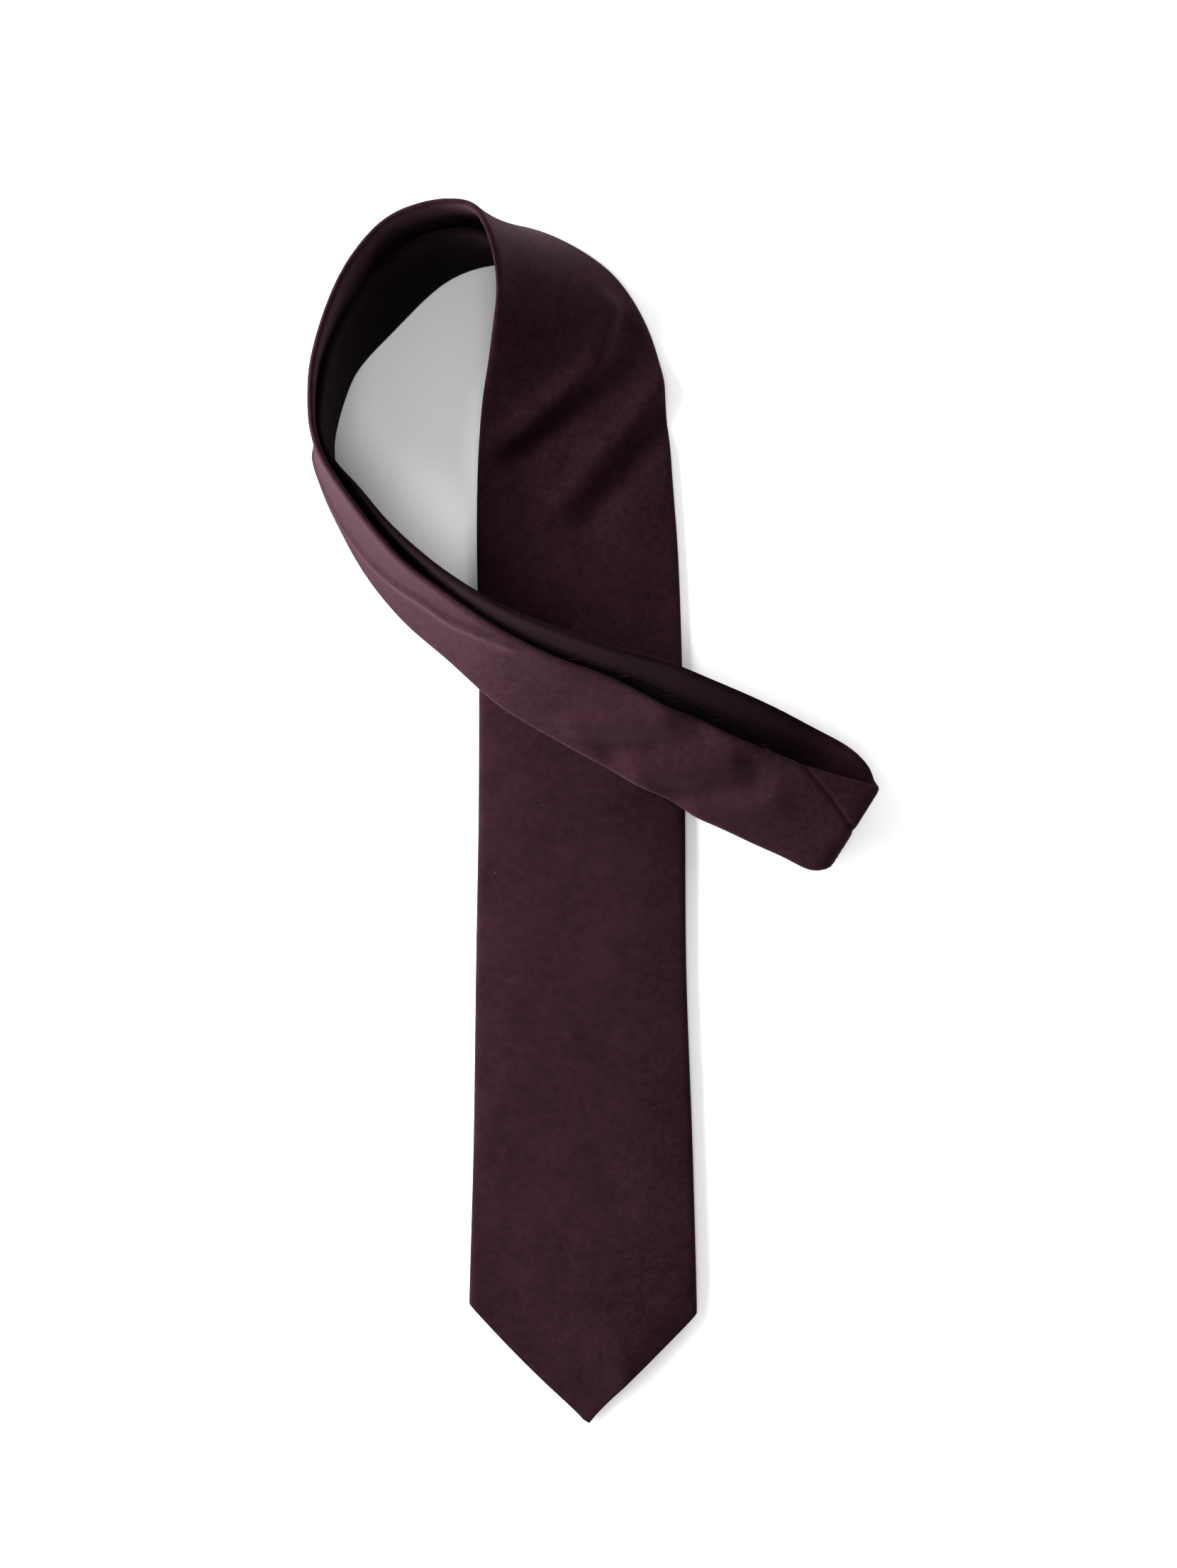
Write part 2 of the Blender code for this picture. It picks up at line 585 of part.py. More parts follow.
keeper_s = float(np.interp(KEEPER_Y, (EDGES[:200, 1] + EDGES[:200, 4]) / 2, ALONG[:200]))
keeper("keeper_loop", keeper_s, AUBERGINE)
middle_x = float(strip(keeper_s, 0.0, 0.0)[0])
tack_top = KEEPER_DEPTH + KEEPER_THICKNESS + LAYER_GAP
for side, name in ((-1, "keeper_tack_left"), (1, "keeper_tack_right")):
    edge = float(tail_middle(KEEPER_Y)) + side * (float(tail_half(KEEPER_Y)) + 8.3 * MM)
    v_middle = -(edge - middle_x)
    strip_block(name, (keeper_s - 4 * MM, keeper_s + 4 * MM), (v_middle - 0.6 * MM, v_middle + 0.6 * MM),
                (tack_top, tack_top + 0.3 * MM), THREAD)
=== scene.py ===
"""The looks of the necktie: cloth, linings, stitches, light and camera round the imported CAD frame.

The tie follows one strip, as its CAD does.  The strip's coordinates are
  s      distance along the tie from the tip of the wide blade,
  v      sideways distance from the middle, positive towards the strip's left edge,
  depth  distance behind the face that shows.
Every layer of cloth is laid on the strip at its own depth, so layers stay parallel round every bend.
"""
import json
import math

import bmesh
import bpy
import numpy as np
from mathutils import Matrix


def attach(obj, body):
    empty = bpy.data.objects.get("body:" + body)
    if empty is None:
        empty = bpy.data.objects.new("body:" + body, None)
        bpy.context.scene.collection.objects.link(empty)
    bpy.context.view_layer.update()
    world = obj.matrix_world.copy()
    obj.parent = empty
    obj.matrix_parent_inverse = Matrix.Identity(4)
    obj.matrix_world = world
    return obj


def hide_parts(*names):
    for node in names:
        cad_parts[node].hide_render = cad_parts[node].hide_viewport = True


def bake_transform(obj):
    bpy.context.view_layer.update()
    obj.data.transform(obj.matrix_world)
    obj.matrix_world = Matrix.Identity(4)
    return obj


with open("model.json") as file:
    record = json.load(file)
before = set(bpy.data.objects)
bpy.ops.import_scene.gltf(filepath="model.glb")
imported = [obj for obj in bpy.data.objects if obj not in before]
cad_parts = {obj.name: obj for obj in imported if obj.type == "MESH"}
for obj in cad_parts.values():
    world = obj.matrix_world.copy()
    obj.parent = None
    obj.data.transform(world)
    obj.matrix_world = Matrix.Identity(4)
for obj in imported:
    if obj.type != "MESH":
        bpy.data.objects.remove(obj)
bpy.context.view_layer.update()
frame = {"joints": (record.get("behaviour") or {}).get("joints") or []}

MM = 0.001
BODY, LOOSE_END, JOINT = "tie", "blade_end", frame["joints"][0]

# ---- driving dimensions -------------------------------------------------------------------------------
CLOTH = 0.35 * MM            # shell cloth
ROLL_DEPTH = 1.10 * MM       # folded long edge: half the strap's thickness
ROLL_WIDTH = 2.40 * MM       # and how far in from the edge the fold starts
STRAP = 2 * ROLL_DEPTH       # the strap's whole thickness
SLIT_HALF = 0.25 * MM        # half the gap where the back flaps meet
SLIT_TUCK = 0.45 * MM        # the flaps' meeting edges turn in by this much
HEM_RADIUS = 0.49 * MM       # fold at the pointed ends, to the middle of the cloth
HEM_WIDTH = 7.0 * MM
INTERLINING_DEPTHS = (0.50 * MM, 0.90 * MM)
INTERLINING_INSET = 2.2 * MM     # from both pointed ends
INTERLINING_GAP = (744.0 * MM, 830.0 * MM)   # the two interlinings leave the bias seam free
TIPPING_DEPTHS = (1.36 * MM, 1.58 * MM)
TIPPING_INSET = 4.0 * MM
TIPPING_MARGIN = 3.0 * MM
THREAD_RADIUS = 0.14 * MM

BLADE_TIP_SIDE = -1.6 * MM   # the wide point sits a little to the right of the middle
BLADE_APEX = 101.6 * MM      # where the back flaps meet, from the wide tip
TAIL_APEX = 57.5 * MM        # and from the narrow tip
BLADE_REACH = 230 * MM       # rows are straight across again this far from the wide tip
TAIL_REACH = 115 * MM
SEAM_REACH = 120 * MM        # and this far from a bias seam
NECK_SEAM = 777.0 * MM       # the two bias seams, from the wide tip
TAIL_SEAM = 1245.0 * MM
SEAM_SLOPE = 1.5             # a bias seam runs this far along the strip for each step across it
SEAM_GAP = 0.1 * MM          # half the gap between the two cloths at a seam
SEAM_DIP = 0.42 * MM         # the cloth sinks this much towards a seam
SEAM_DIP_WIDTH = 0.9 * MM
BLADE_TIPPING_TOP = 112.0 * MM
TAIL_TIPPING_LENGTH = 68.0 * MM

TAIL_LEAN = -0.0607          # the flat tail's middle moves sideways this much for each step in y
TAIL_HALF_AT_0 = 22.35 * MM  # its half width at y = 0
TAIL_TAPER = -0.0041         # and the change of it for each step in y
TAIL_TIP_Y = -181.1 * MM
BLADE_RISE = 3.40 * MM       # the blade's middle is lifted this much where it lies over the tail
CROWN_LEFT, CROWN_RIGHT = 47 * MM, 40 * MM   # the lift ends this far from the tail's middle
CROWN_POINT = 29 * MM        # and ends in a point of its own, this far past the narrow tip
CROWN_FADE = 20 * MM
BLADE_FLAT_TO = 350 * MM     # along the strip: the blade lies flat up to here
TAIL_FLAT_FROM = 1150 * MM   # and the tail from here
FLAT_FADE = 50 * MM
KEEPER_Y = 8.4 * MM
KEEPER_LIFT = 0.65 * MM
KEEPER_LIFT_HALF = 20 * MM   # the full lift reaches this far from the keeper, up and down the tail
KEEPER_LIFT_FADE = 45 * MM

# The strip's two long edges, station by station, in millimetres: right x, y, z, then left x, y, z.
WIDE_BLADE = [
    (38.4, -211.8, 2.4, -42.8, -211.8, 2.4),
    (37.5, -170.3, 2.4, -42.1, -170.3, 2.4),
    (36.0, -114.6, 2.4, -40.6, -114.6, 2.4),
    (33.8, -52.6, 2.4, -39.7, -52.6, 2.4),
    (33.3, 8.9, 2.4, -38.7, 8.9, 2.4),
    (32.1, 63.4, 2.4, -38.7, 63.4, 2.4),
    (30.8, 95.4, 2.4, -39.3, 95.4, 2.4),
    (29.3, 115.4, 2.4, -39.1, 115.4, 3.2),
    (28.1, 132.6, 2.4, -38.2, 130.5, 7.5),
]
# The left edge rises and the blade turns up on to its right edge.
TURN_UP = [
    (26.4, 147.5, 2.4, -36.4, 144.2, 15.0),
    (24.4, 161.1, 2.3, -34.0, 154.7, 24.0),
    (19.0, 176.0, 2.1, -31.7, 165.8, 34.0),
    (9.1, 190.7, 1.8, -29.9, 175.6, 43.0),
    (-4.8, 200.8, 1.4, -30.3, 185.4, 49.0),
    (-19.7, 207.0, 1.0, -32.8, 195.0, 51.5),
    (-33.4, 208.2, 0.5, -37.9, 203.1, 50.5),
]
# Outer band of the loop, standing on edge.
OUTER_BAND = [
    (-43.8, 204.0, 0.4, -47.3, 205.0, 49.5),
    (-55.0, 196.5, 0.4, -60.4, 202.3, 48.5),
    (-66.6, 184.5, 0.4, -72.6, 194.2, 47.5),
    (-77.3, 172.9, 0.4, -81.9, 182.2, 46.8),
    (-87.2, 161.2, 0.4, -89.0, 165.6, 46.0),
    (-92.6, 151.2, 0.4, -92.9, 150.6, 45.0),
    (-94.6, 142.9, 0.4, -93.4, 140.2, 44.5),
    (-95.8, 134.8, 0.4, -92.9, 130.7, 44.0),
    (-97.0, 126.2, 0.4, -89.6, 120.3, 43.0),
    (-93.9, 114.5, 0.4, -82.2, 109.1, 41.0),
    (-87.7, 100.9, 0.5, -73.7, 97.9, 39.0),
    (-78.6, 84.7, 0.5, -62.6, 85.9, 36.5),
    (-66.1, 69.3, 0.8, -48.8, 75.9, 34.0),
]
# Front layer of the crossing: it leans back over the wide blade.
CROSSING = [
    (-50.3, 55.5, 2.6, -32.1, 64.6, 32.0),
    (-31.3, 38.8, 7.2, -12.0, 54.5, 31.0),
    (-10.1, 26.2, 8.1, 6.6, 47.8, 30.0),
    (11.9, 14.2, 8.3, 25.0, 38.8, 29.0),
    (35.2, 1.9, 8.3, 45.2, 29.7, 27.5),
    (54.8, -7.9, 8.4, 64.6, 21.6, 25.0),
    (65.9, -12.8, 9.0, 79.3, 16.6, 22.6),
]
# Middle line of the fold, from its lower end to its upper end, and the way the strap points there.
FOLD_LOW = (78.8, -17.0, 5.2)
FOLD_HIGH = (97.4, 12.7, 16.3)
FOLD_HEADING = math.radians(-29)
FOLD_RADIUS_LOW, FOLD_RADIUS_HIGH = 4.9, 3.4
FOLD_TUCK = 3.4              # the lower corner is rounded off by this much
FOLD_TURNS = (0, 36, 72, 108, 144, 180)
# Back layer of the crossing, steeper than the front one.
RETURN = [
    (79.1, -9.4, 0.6, 96.9, 17.5, 14.6),
    (76.6, -2.6, 0.6, 90.7, 24.2, 18.8),
    (64.4, 9.9, 0.8, 74.6, 32.9, 25.3),
    (51.3, 21.0, 2.5, 59.9, 40.1, 31.8),
    (33.6, 31.6, 6.2, 40.1, 48.4, 36.6),
    (20.4, 40.2, 6.8, 24.8, 54.4, 38.7),
    (3.3, 47.7, 6.8, 6.5, 59.3, 40.0),
    (-13.8, 53.8, 6.4, -10.9, 65.3, 40.4),
    (-29.5, 61.8, 5.8, -24.7, 70.6, 39.4),
    (-40.4, 68.0, 3.8, -35.8, 76.3, 39.6),
]
# Inner band of the loop, nested inside the outer one.
INNER_BAND = [
    (-56.1, 79.4, 1.0, -51.1, 86.5, 38.4),
    (-70.9, 94.4, 0.3, -66.4, 100.0, 37.9),
    (-82.0, 107.6, 0.3, -77.0, 112.5, 38.0),
    (-87.9, 120.4, 0.3, -85.7, 122.0, 38.2),
    (-89.0, 130.4, 0.3, -89.5, 131.9, 38.3),
    (-87.5, 139.1, 0.3, -88.9, 141.5, 38.5),
    (-85.0, 147.3, 0.3, -87.4, 150.0, 38.6),
    (-81.8, 155.2, 0.3, -85.5, 158.0, 38.6),
    (-76.8, 161.7, 0.3, -81.9, 166.2, 38.6),
    (-70.4, 168.2, 0.3, -76.5, 175.2, 38.6),
    (-63.4, 175.4, 0.3, -70.1, 183.2, 38.7),
    (-56.2, 182.6, 0.3, -63.5, 189.1, 38.8),
    (-48.0, 188.8, 0.3, -53.8, 194.0, 39.0),
    (-38.1, 192.7, 0.3, -42.7, 195.8, 39.3),
    (-27.2, 194.0, 0.3, -33.4, 193.6, 38.6),
]
# It turns down under the blade and lies flat, show face on the table.
TURN_DOWN = [
    (-17.2, 192.0, 0.3, -30.1, 188.2, 37.3),
    (-7.0, 186.8, 0.3, -28.1, 181.6, 33.2),
    (1.6, 178.3, 0.3, -27.9, 173.3, 28.0),
    (8.1, 167.2, 0.3, -28.7, 164.0, 19.5),
    (11.8, 154.5, 0.2, -29.5, 153.5, 11.0),
    (13.8, 140.1, 0.1, -29.7, 140.0, 4.0),
    (14.3, 123.4, 0.0, -29.3, 123.4, 0.5),
    (15.8, 101.4, 0.0, -28.1, 101.4, 0.0),
]
TAIL_STATION_Y = (53.4, 3.4, -46.6, -96.6, -146.6, -181.1)

# Soft folds and dents in the strap: points along the crest as (s, v), height, half width, all in mm.
FOLDS = [
    ([(388, -17), (381, -12), (369, -5), (359, 6), (350, 17), (343, 27)], 3.1, 5.0),
    ([(380, -22), (368, -15), (357, -4), (348, 7), (338, 18)], -2.1, 4.8),
    ([(362, -29), (352, -22), (340, -11), (329, -2), (322, 5)], 2.9, 5.5),
    ([(349, -31), (338, -22), (326, -12), (315, -4)], -1.9, 5.2),
    ([(676, -6), (690, 5), (700, 12)], 1.8, 5.6),
    ([(702, -11), (716, -2), (728, 8)], 2.0, 6.0),
    ([(724, -15), (736, -7), (746, 1)], 1.6, 6.0),
    ([(690, -9), (703, 2), (714, 12)], -1.7, 5.0),
    ([(714, -14), (728, -4), (738, 6)], -1.7, 5.0),
    ([(545, -13), (572, -11), (592, -3), (607, 4), (618, 5), (627, 9), (638, 13)], 0.8, 2.6),
    ([(95, -5), (86, -10), (80, -14)], -0.55, 4.5),
    ([(137, -14), (130, -23), (123, -32)], 0.35, 6.0),
    ([(130, -9), (121, -20), (112, -30)], -0.35, 6.0),
    ([(106, 24), (100, 16)], -0.30, 8.0),
    ([(160, 10), (150, -2)], 0.25, 9.0),
    ([(210, 20), (196, 6), (186, -8)], -0.25, 9.0),
    ([(46, 0), (36, -10)], 0.25, 3.0),
    ([(466, 14), (458, 2)], 1.6, 9.0),
]


def eased(t):
    """0 below 0, 1 above 1, and a smooth change between."""
    t = np.clip(t, 0.0, 1.0)
    return t * t * (3.0 - 2.0 * t)


# ---- the strip ----------------------------------------------------------------------------------------
TABLE_STEP = 0.5 * MM
SMOOTHING = 2.4 * MM         # the edges' curves are rounded off over about this length
SPANS = 48                   # samples from one station to the next
ROW_TURN = 0.06              # a row of faces turns at most about this much (radians)
ROW_LENGTH = 2.3 * MM        # and is at most about this long


def tail_half(y):
    return TAIL_HALF_AT_0 + TAIL_TAPER * y


def tail_middle(y):
    return TAIL_LEAN * y


def fold_stations():
    """Stations round the half turn at the far end of the crossing, as on a slanting rod."""
    low, high = np.array(FOLD_LOW), np.array(FOLD_HIGH)
    across = (high - low) / np.linalg.norm(high - low)
    along = np.array((math.cos(FOLD_HEADING), math.sin(FOLD_HEADING), 0.0))
    along -= across * along.dot(across)
    along /= np.linalg.norm(along)
    outward = np.cross(along, across)
    rows = []
    for turn in FOLD_TURNS:
        angle = math.radians(turn)
        way = math.cos(angle) * outward + math.sin(angle) * along
        corner = low + FOLD_TUCK * math.sin(angle) * across
        rows.append(tuple(corner + FOLD_RADIUS_LOW * way) + tuple(high + FOLD_RADIUS_HIGH * way))
    return rows


def tail_stations():
    rows = []
    for y in TAIL_STATION_Y:
        middle, half = tail_middle(y * MM) / MM, tail_half(y * MM) / MM
        rows.append((middle + half, y, 0.0, middle - half, y, 0.0))
    return rows


def distances(samples):
    middles = (samples[:, :3] + samples[:, 3:]) / 2
    return np.concatenate([[0.0], np.cumsum(np.linalg.norm(np.diff(middles, axis=0), axis=1))])


def rounded_off(table, spread):
    """The table with each column smoothed along its length; both ends run on straight."""
    reach = int(4 * spread / TABLE_STEP)
    weights = np.exp(-0.5 * (np.arange(-reach, reach + 1) * TABLE_STEP / spread) ** 2)
    weights /= weights.sum()
    steps = np.arange(1, reach + 1)[:, None]
    before = table[0] + (table[0] - table[1]) * steps[::-1]
    after = table[-1] + (table[-1] - table[-2]) * steps
    longer = np.concatenate([before, table, after])
    return np.stack([np.convolve(longer[:, k], weights, "valid") for k in range(6)], axis=1)


def spline_table():
    """Both edges sampled closely, and the distance along the strip at each sample."""
    stations = WIDE_BLADE + TURN_UP + OUTER_BAND + CROSSING + fold_stations()
    stations = np.array(stations + RETURN + INNER_BAND + TURN_DOWN + tail_stations()) * MM
    middles = (stations[:, :3] + stations[:, 3:]) / 2
    gaps = np.sqrt(np.linalg.norm(np.diff(middles, axis=0), axis=1))
    knots = np.concatenate([[0.0], np.cumsum(gaps)])
    slopes = np.zeros_like(stations)
    for i in range(len(stations)):
        before, after = max(i - 1, 0), min(i + 1, len(stations) - 1)
        if before == i or after == i:
            slopes[i] = (stations[after] - stations[before]) / (knots[after] - knots[before])
            continue
        back = (stations[i] - stations[before]) / gaps[before]
        ahead = (stations[after] - stations[i]) / gaps[i]
        slopes[i] = (back * gaps[i] + ahead * gaps[before]) / (gaps[before] + gaps[i])
    samples = []
    for i, gap in enumerate(gaps):
        for u in np.arange(0, 1, 1 / SPANS):
            keep, lead = 2 * u**3 - 3 * u**2 + 1, u**3 - 2 * u**2 + u
            samples.append(keep * stations[i] + (1 - keep) * stations[i + 1]
                           + gap * (lead * slopes[i] + (u**3 - u**2) * slopes[i + 1]))
    samples = np.array(samples + [stations[-1]])
    along = distances(samples)
    even = np.linspace(0.0, along[-1], int(along[-1] / TABLE_STEP) + 1)
    table = np.stack([np.interp(even, along, samples[:, k]) for k in range(6)], axis=1)
    table = rounded_off(table, SMOOTHING)
    table[:, [2, 5]] = np.maximum(table[:, [2, 5]], 0.0)
    return table, distances(table)


EDGES, ALONG = spline_table()
LENGTH = float(ALONG[-1])


def edges_at(s):
    both = np.stack([np.interp(s, ALONG, EDGES[:, k]) for k in range(6)], axis=-1)
    return both[..., :3], both[..., 3:]


def half_width(s):
    right, left = edges_at(s)
    return np.linalg.norm(left - right, axis=-1) / 2


def keeper_lift(y):
    """Extra height where the keeper passes under the tail."""
    beyond = np.abs(y - KEEPER_Y) - KEEPER_LIFT_HALF
    return KEEPER_LIFT * (1.0 - eased(beyond / KEEPER_LIFT_FADE))


def over_tail(x, y):
    """1 along the flat tail's middle, 0 where the blade's edges rest beside it and at its point."""
    aside = np.abs(x - tail_middle(y))
    reach = np.where(x < tail_middle(y), CROWN_LEFT, CROWN_RIGHT)
    crown = np.clip(1.0 - (aside / reach) ** 2, 0.0, 1.0)
    point = (y - TAIL_TIP_Y + CROWN_POINT - aside) / math.sqrt(2)
    return crown * eased((point + 1 * MM) / CROWN_FADE)


def fold_relief(s, v):
    """Height of the soft folds and dents at a place on the strip."""
    total = np.zeros_like(s)
    for points, height, width in FOLDS:
        points = np.array(points) * MM
        near = (s > points[:, 0].min() - 4 * width * MM) & (s < points[:, 0].max() + 4 * width * MM)
        if not near.any():
            continue
        at, side = s[near], v[near]
        nearest = np.full(at.shape, 1.0)
        for start, stop in zip(points, points[1:]):
            run = stop - start
            share = ((at - start[0]) * run[0] + (side - start[1]) * run[1]) / run.dot(run)
            share = np.clip(share, 0.0, 1.0)
            gap = np.hypot(at - start[0] - share * run[0], side - start[1] - share * run[1])
            nearest = np.minimum(nearest, gap)
        total[near] += height * MM * np.exp(-((nearest / (width * MM)) ** 2))
    return total


def strip(s, v, depth):
    """World points of the strip at (s, v, depth); the three may be arrays of one shape."""
    s, v, depth = np.broadcast_arrays(np.asarray(s, float), v, depth)
    right, left = edges_at(s)
    share = (0.5 + v / (2 * half_width(s)))[..., None]
    point = right * (1 - share) + left * share
    reach = 0.6 * MM   # the strip's direction is taken from this far before and after
    right_low, left_low = edges_at(np.clip(s - reach, 0, LENGTH))
    right_high, left_high = edges_at(np.clip(s + reach, 0, LENGTH))
    ahead = (right_high - right_low) * (1 - share) + (left_high - left_low) * share
    normal = np.cross(ahead, left - right)
    normal /= np.linalg.norm(normal, axis=-1, keepdims=True)
    x, y = point[..., 0], point[..., 1]
    lying = BLADE_RISE * over_tail(x, y) + keeper_lift(y) * over_tail(x, y)
    lying *= 1 - eased((s - BLADE_FLAT_TO) / FLAT_FADE)
    threaded = keeper_lift(y) * eased((s - TAIL_FLAT_FROM) / FLAT_FADE)
    rise = np.where(s < LENGTH / 3, lying, threaded)
    point = point + normal * (fold_relief(s, v) - depth)[..., None]
    point[..., 2] += rise
    return point


# ---- rows and columns ---------------------------------------------------------------------------------
def row_places():
    """Distances along the strip for rows of faces: close together where it bends or twists."""
    ahead = np.diff(EDGES, axis=0)
    across = EDGES[:-1, 3:] - EDGES[:-1, :3]
    turn = np.zeros(len(ahead))
    for part in (ahead[:, :3], ahead[:, 3:], across):
        unit = part / np.linalg.norm(part, axis=1, keepdims=True)
        bend = np.linalg.norm(np.diff(unit, axis=0), axis=1)
        turn[1:] = np.maximum(turn[1:], bend)
    weight = np.cumsum(np.maximum(turn / ROW_TURN, TABLE_STEP / ROW_LENGTH))
    count = int(weight[-1])
    return np.interp(np.arange(count + 1) * weight[-1] / count, weight, ALONG[:-1])


ROWS = row_places()


def rows_between(start, stop, least=0.8 * MM):
    inside = ROWS[(ROWS > start + least) & (ROWS < stop - least)]
    return np.concatenate([[start], inside, [stop]])


class Section:
    """The shell's cross-section, as columns from the slit round the front and back to the slit.

    Each array has one value per column.  v is a * (half width - ROLL_WIDTH) + b, the unfolded distance
    has ua and ub in the same way, and the distance past the folded edge ta and tb.  side and back are the
    outward direction.
    """
    LIP_START = 0.992            # the turned-in lip at the slit, as a share of the flap

    def __init__(self, front_faces, flap_faces):
        wide, deep = ROLL_WIDTH - CLOTH / 2, ROLL_DEPTH - CLOTH / 2
        turns = np.radians(np.arange(18, 181, 18))
        roll_v, roll_depth = wide * np.sin(turns), ROLL_DEPTH - deep * np.cos(turns)
        fine = np.linspace(0, math.pi, 400)
        pace = np.hypot(wide * np.cos(fine), deep * np.sin(fine))
        arc = np.concatenate([[0], np.cumsum((pace[1:] + pace[:-1]) / 2 * np.diff(fine))])
        roll_arc = np.interp(turns, fine, arc)
        side, back = np.sin(turns) / wide, -np.cos(turns) / deep
        size = np.hypot(side, back)
        shares = np.concatenate([np.linspace(0, 1, flap_faces + 1)[1:-1], [self.LIP_START, 1.0]])
        flat = np.full(len(shares), ROLL_DEPTH + deep)
        flat[-1] -= SLIT_TUCK
        one, none = np.ones(len(turns)), np.zeros(len(turns))
        self.edge_arc = float(np.interp(math.pi / 2, fine, arc))
        left = {
            "a": np.concatenate([one, 1 - shares]),
            "b": np.concatenate([roll_v, SLIT_HALF * shares]),
            "depth": np.concatenate([roll_depth, flat]),
            "side": np.concatenate([side / size, 0 * shares]),
            "back": np.concatenate([back / size, 0 * shares + 1]),
            "ua": np.concatenate([one, 1 + shares]),
            "ub": np.concatenate([roll_arc, arc[-1] - SLIT_HALF * shares]),
            "ta": np.concatenate([none, shares]),
            "tb": np.concatenate([np.maximum(roll_arc - self.edge_arc, 0),
                                  arc[-1] - self.edge_arc - SLIT_HALF * shares]),
        }
        front = np.linspace(-1, 1, front_faces + 1)
        level = 0 * front
        middle = {"a": front, "b": level, "depth": level + CLOTH / 2, "side": level,
                  "back": level - 1, "ua": front, "ub": level, "ta": level, "tb": level}
        flips = {"a": -1, "b": -1, "side": -1, "ua": -1, "ub": -1}
        for key in middle:
            right = left[key][::-1] * flips.get(key, 1)
            setattr(self, key, np.concatenate([right, middle[key], left[key]]))

    def v(self, half):
        return self.a * (half - ROLL_WIDTH) + self.b

    def unfolded(self, half):
        return self.ua * (half - ROLL_WIDTH) + self.ub

    def turned_in(self, half):
        """Distance past the folded edge, measured on the cloth."""
        return self.ta * (half - ROLL_WIDTH) + self.tb


WIDE = Section(36, 14)
NARROW = Section(24, 10)


# ---- end shapes ---------------------------------------------------------------------------------------
def blade_point(v, half):
    """The wide end's outline: a right-angled point with a small nose, its left flank a little full."""
    nose_height, nose_width = 1.3 * MM, 2.2 * MM
    left_fullness, right_fullness = 1.0 * MM, 0.2 * MM
    away = np.abs(v - BLADE_TIP_SIDE)
    share = np.clip(away / half, 0, 1)
    nose = nose_height * (1 - np.exp(-away / nose_width) - share)
    fullness = np.where(v > BLADE_TIP_SIDE, left_fullness, right_fullness) * np.sin(math.pi * share)
    return away + nose - fullness


def tail_point(v, half):
    """The narrow end's outline: a plain right angle at any half width."""
    return np.abs(v)


# ---- meshes -------------------------------------------------------------------------------------------
def sheet_mesh(name, outer, inner, cloth, material):
    """A closed sheet between two grids of points, with cloth coordinates (metres) as its UV map."""
    rows, columns = outer.shape[:2]
    points = np.concatenate([outer.reshape(-1, 3), inner.reshape(-1, 3)])
    index = np.arange(rows * columns).reshape(rows, columns)
    low = index + rows * columns

    def quads(a, b, c, d):
        return np.stack([a.ravel(), b.ravel(), c.ravel(), d.ravel()], axis=1)

    faces = [
        quads(index[:-1, :-1], index[:-1, 1:], index[1:, 1:], index[1:, :-1]),
        quads(low[:-1, :-1], low[1:, :-1], low[1:, 1:], low[:-1, 1:]),
        quads(index[:-1, 0], index[1:, 0], low[1:, 0], low[:-1, 0]),
        quads(index[1:, -1], index[:-1, -1], low[:-1, -1], low[1:, -1]),
        quads(index[0, 1:], index[0, :-1], low[0, :-1], low[0, 1:]),
        quads(index[-1, :-1], index[-1, 1:], low[-1, 1:], low[-1, :-1]),
    ]
    faces = np.concatenate(faces)
    mesh = bpy.data.meshes.new(name)
    mesh.from_pydata(points.tolist(), [], faces.tolist())
    coords = np.concatenate([cloth.reshape(-1, 2)] * 2)
    layer = mesh.uv_layers.new(name="Cloth")
    layer.data.foreach_set("uv", coords[faces.ravel()].astype(np.float32).ravel())
    return finished(name, mesh, material)


def finished(name, mesh, material, sharp=50):
    """Faces turned outwards, smooth shading, one material, linked into the scene."""
    data = bmesh.new()
    data.from_mesh(mesh)
    bmesh.ops.recalc_face_normals(data, faces=data.faces)
    data.to_mesh(mesh)
    data.free()
    mesh.shade_smooth()
    mesh.set_sharp_from_angle(angle=math.radians(sharp))
    mesh.materials.append(material)
    obj = bpy.data.objects.new(name, mesh)
    bpy.context.scene.collection.objects.link(obj)
    return obj


def hem_profile():
    """Two lists of (distance in from the edge, inward offset), for the cloth's outer and inner faces.

    They run from the raw edge of the hem inside, round the fold, to the front.
    """
    radius, half = HEM_RADIUS, CLOTH / 2
    centre = radius + half
    outer, inner = [], []
    for away in (HEM_WIDTH, HEM_WIDTH * 0.5, HEM_WIDTH * 0.2):
        outer.append((centre + away, 2 * radius + half))
        inner.append((centre + away, 2 * radius - half))
    for degrees in range(180, -1, -30):
        turn = math.radians(degrees)
        outer.append((centre - (radius + half) * math.sin(turn), radius - (radius + half) * math.cos(turn)))
        inner.append((centre - (radius - half) * math.sin(turn), radius - (radius - half) * math.cos(turn)))
    return outer, inner


def seam_dip(distance):
    """How far the shell sinks in at this distance from a bias seam."""
    return SEAM_DIP * np.exp(-((distance / SEAM_DIP_WIDTH) ** 2))


def with_hem(place, sunk, profile, hem, at_start):
    """The grid with the rows of the hem's fold in place of the last two rows at its pointed end."""
    if not at_start:
        place, sunk = place[::-1], sunk[::-1]
    inwards = 1 if at_start else -1
    fold = np.array([place[0] + inwards * away * hem for away, _ in profile])
    fold_sunk = np.array([np.full(len(hem), inward) for _, inward in profile])
    place, sunk = np.concatenate([fold, place[2:]]), np.concatenate([fold_sunk, sunk[2:]])
    return (place, sunk) if at_start else (place[::-1], sunk[::-1])


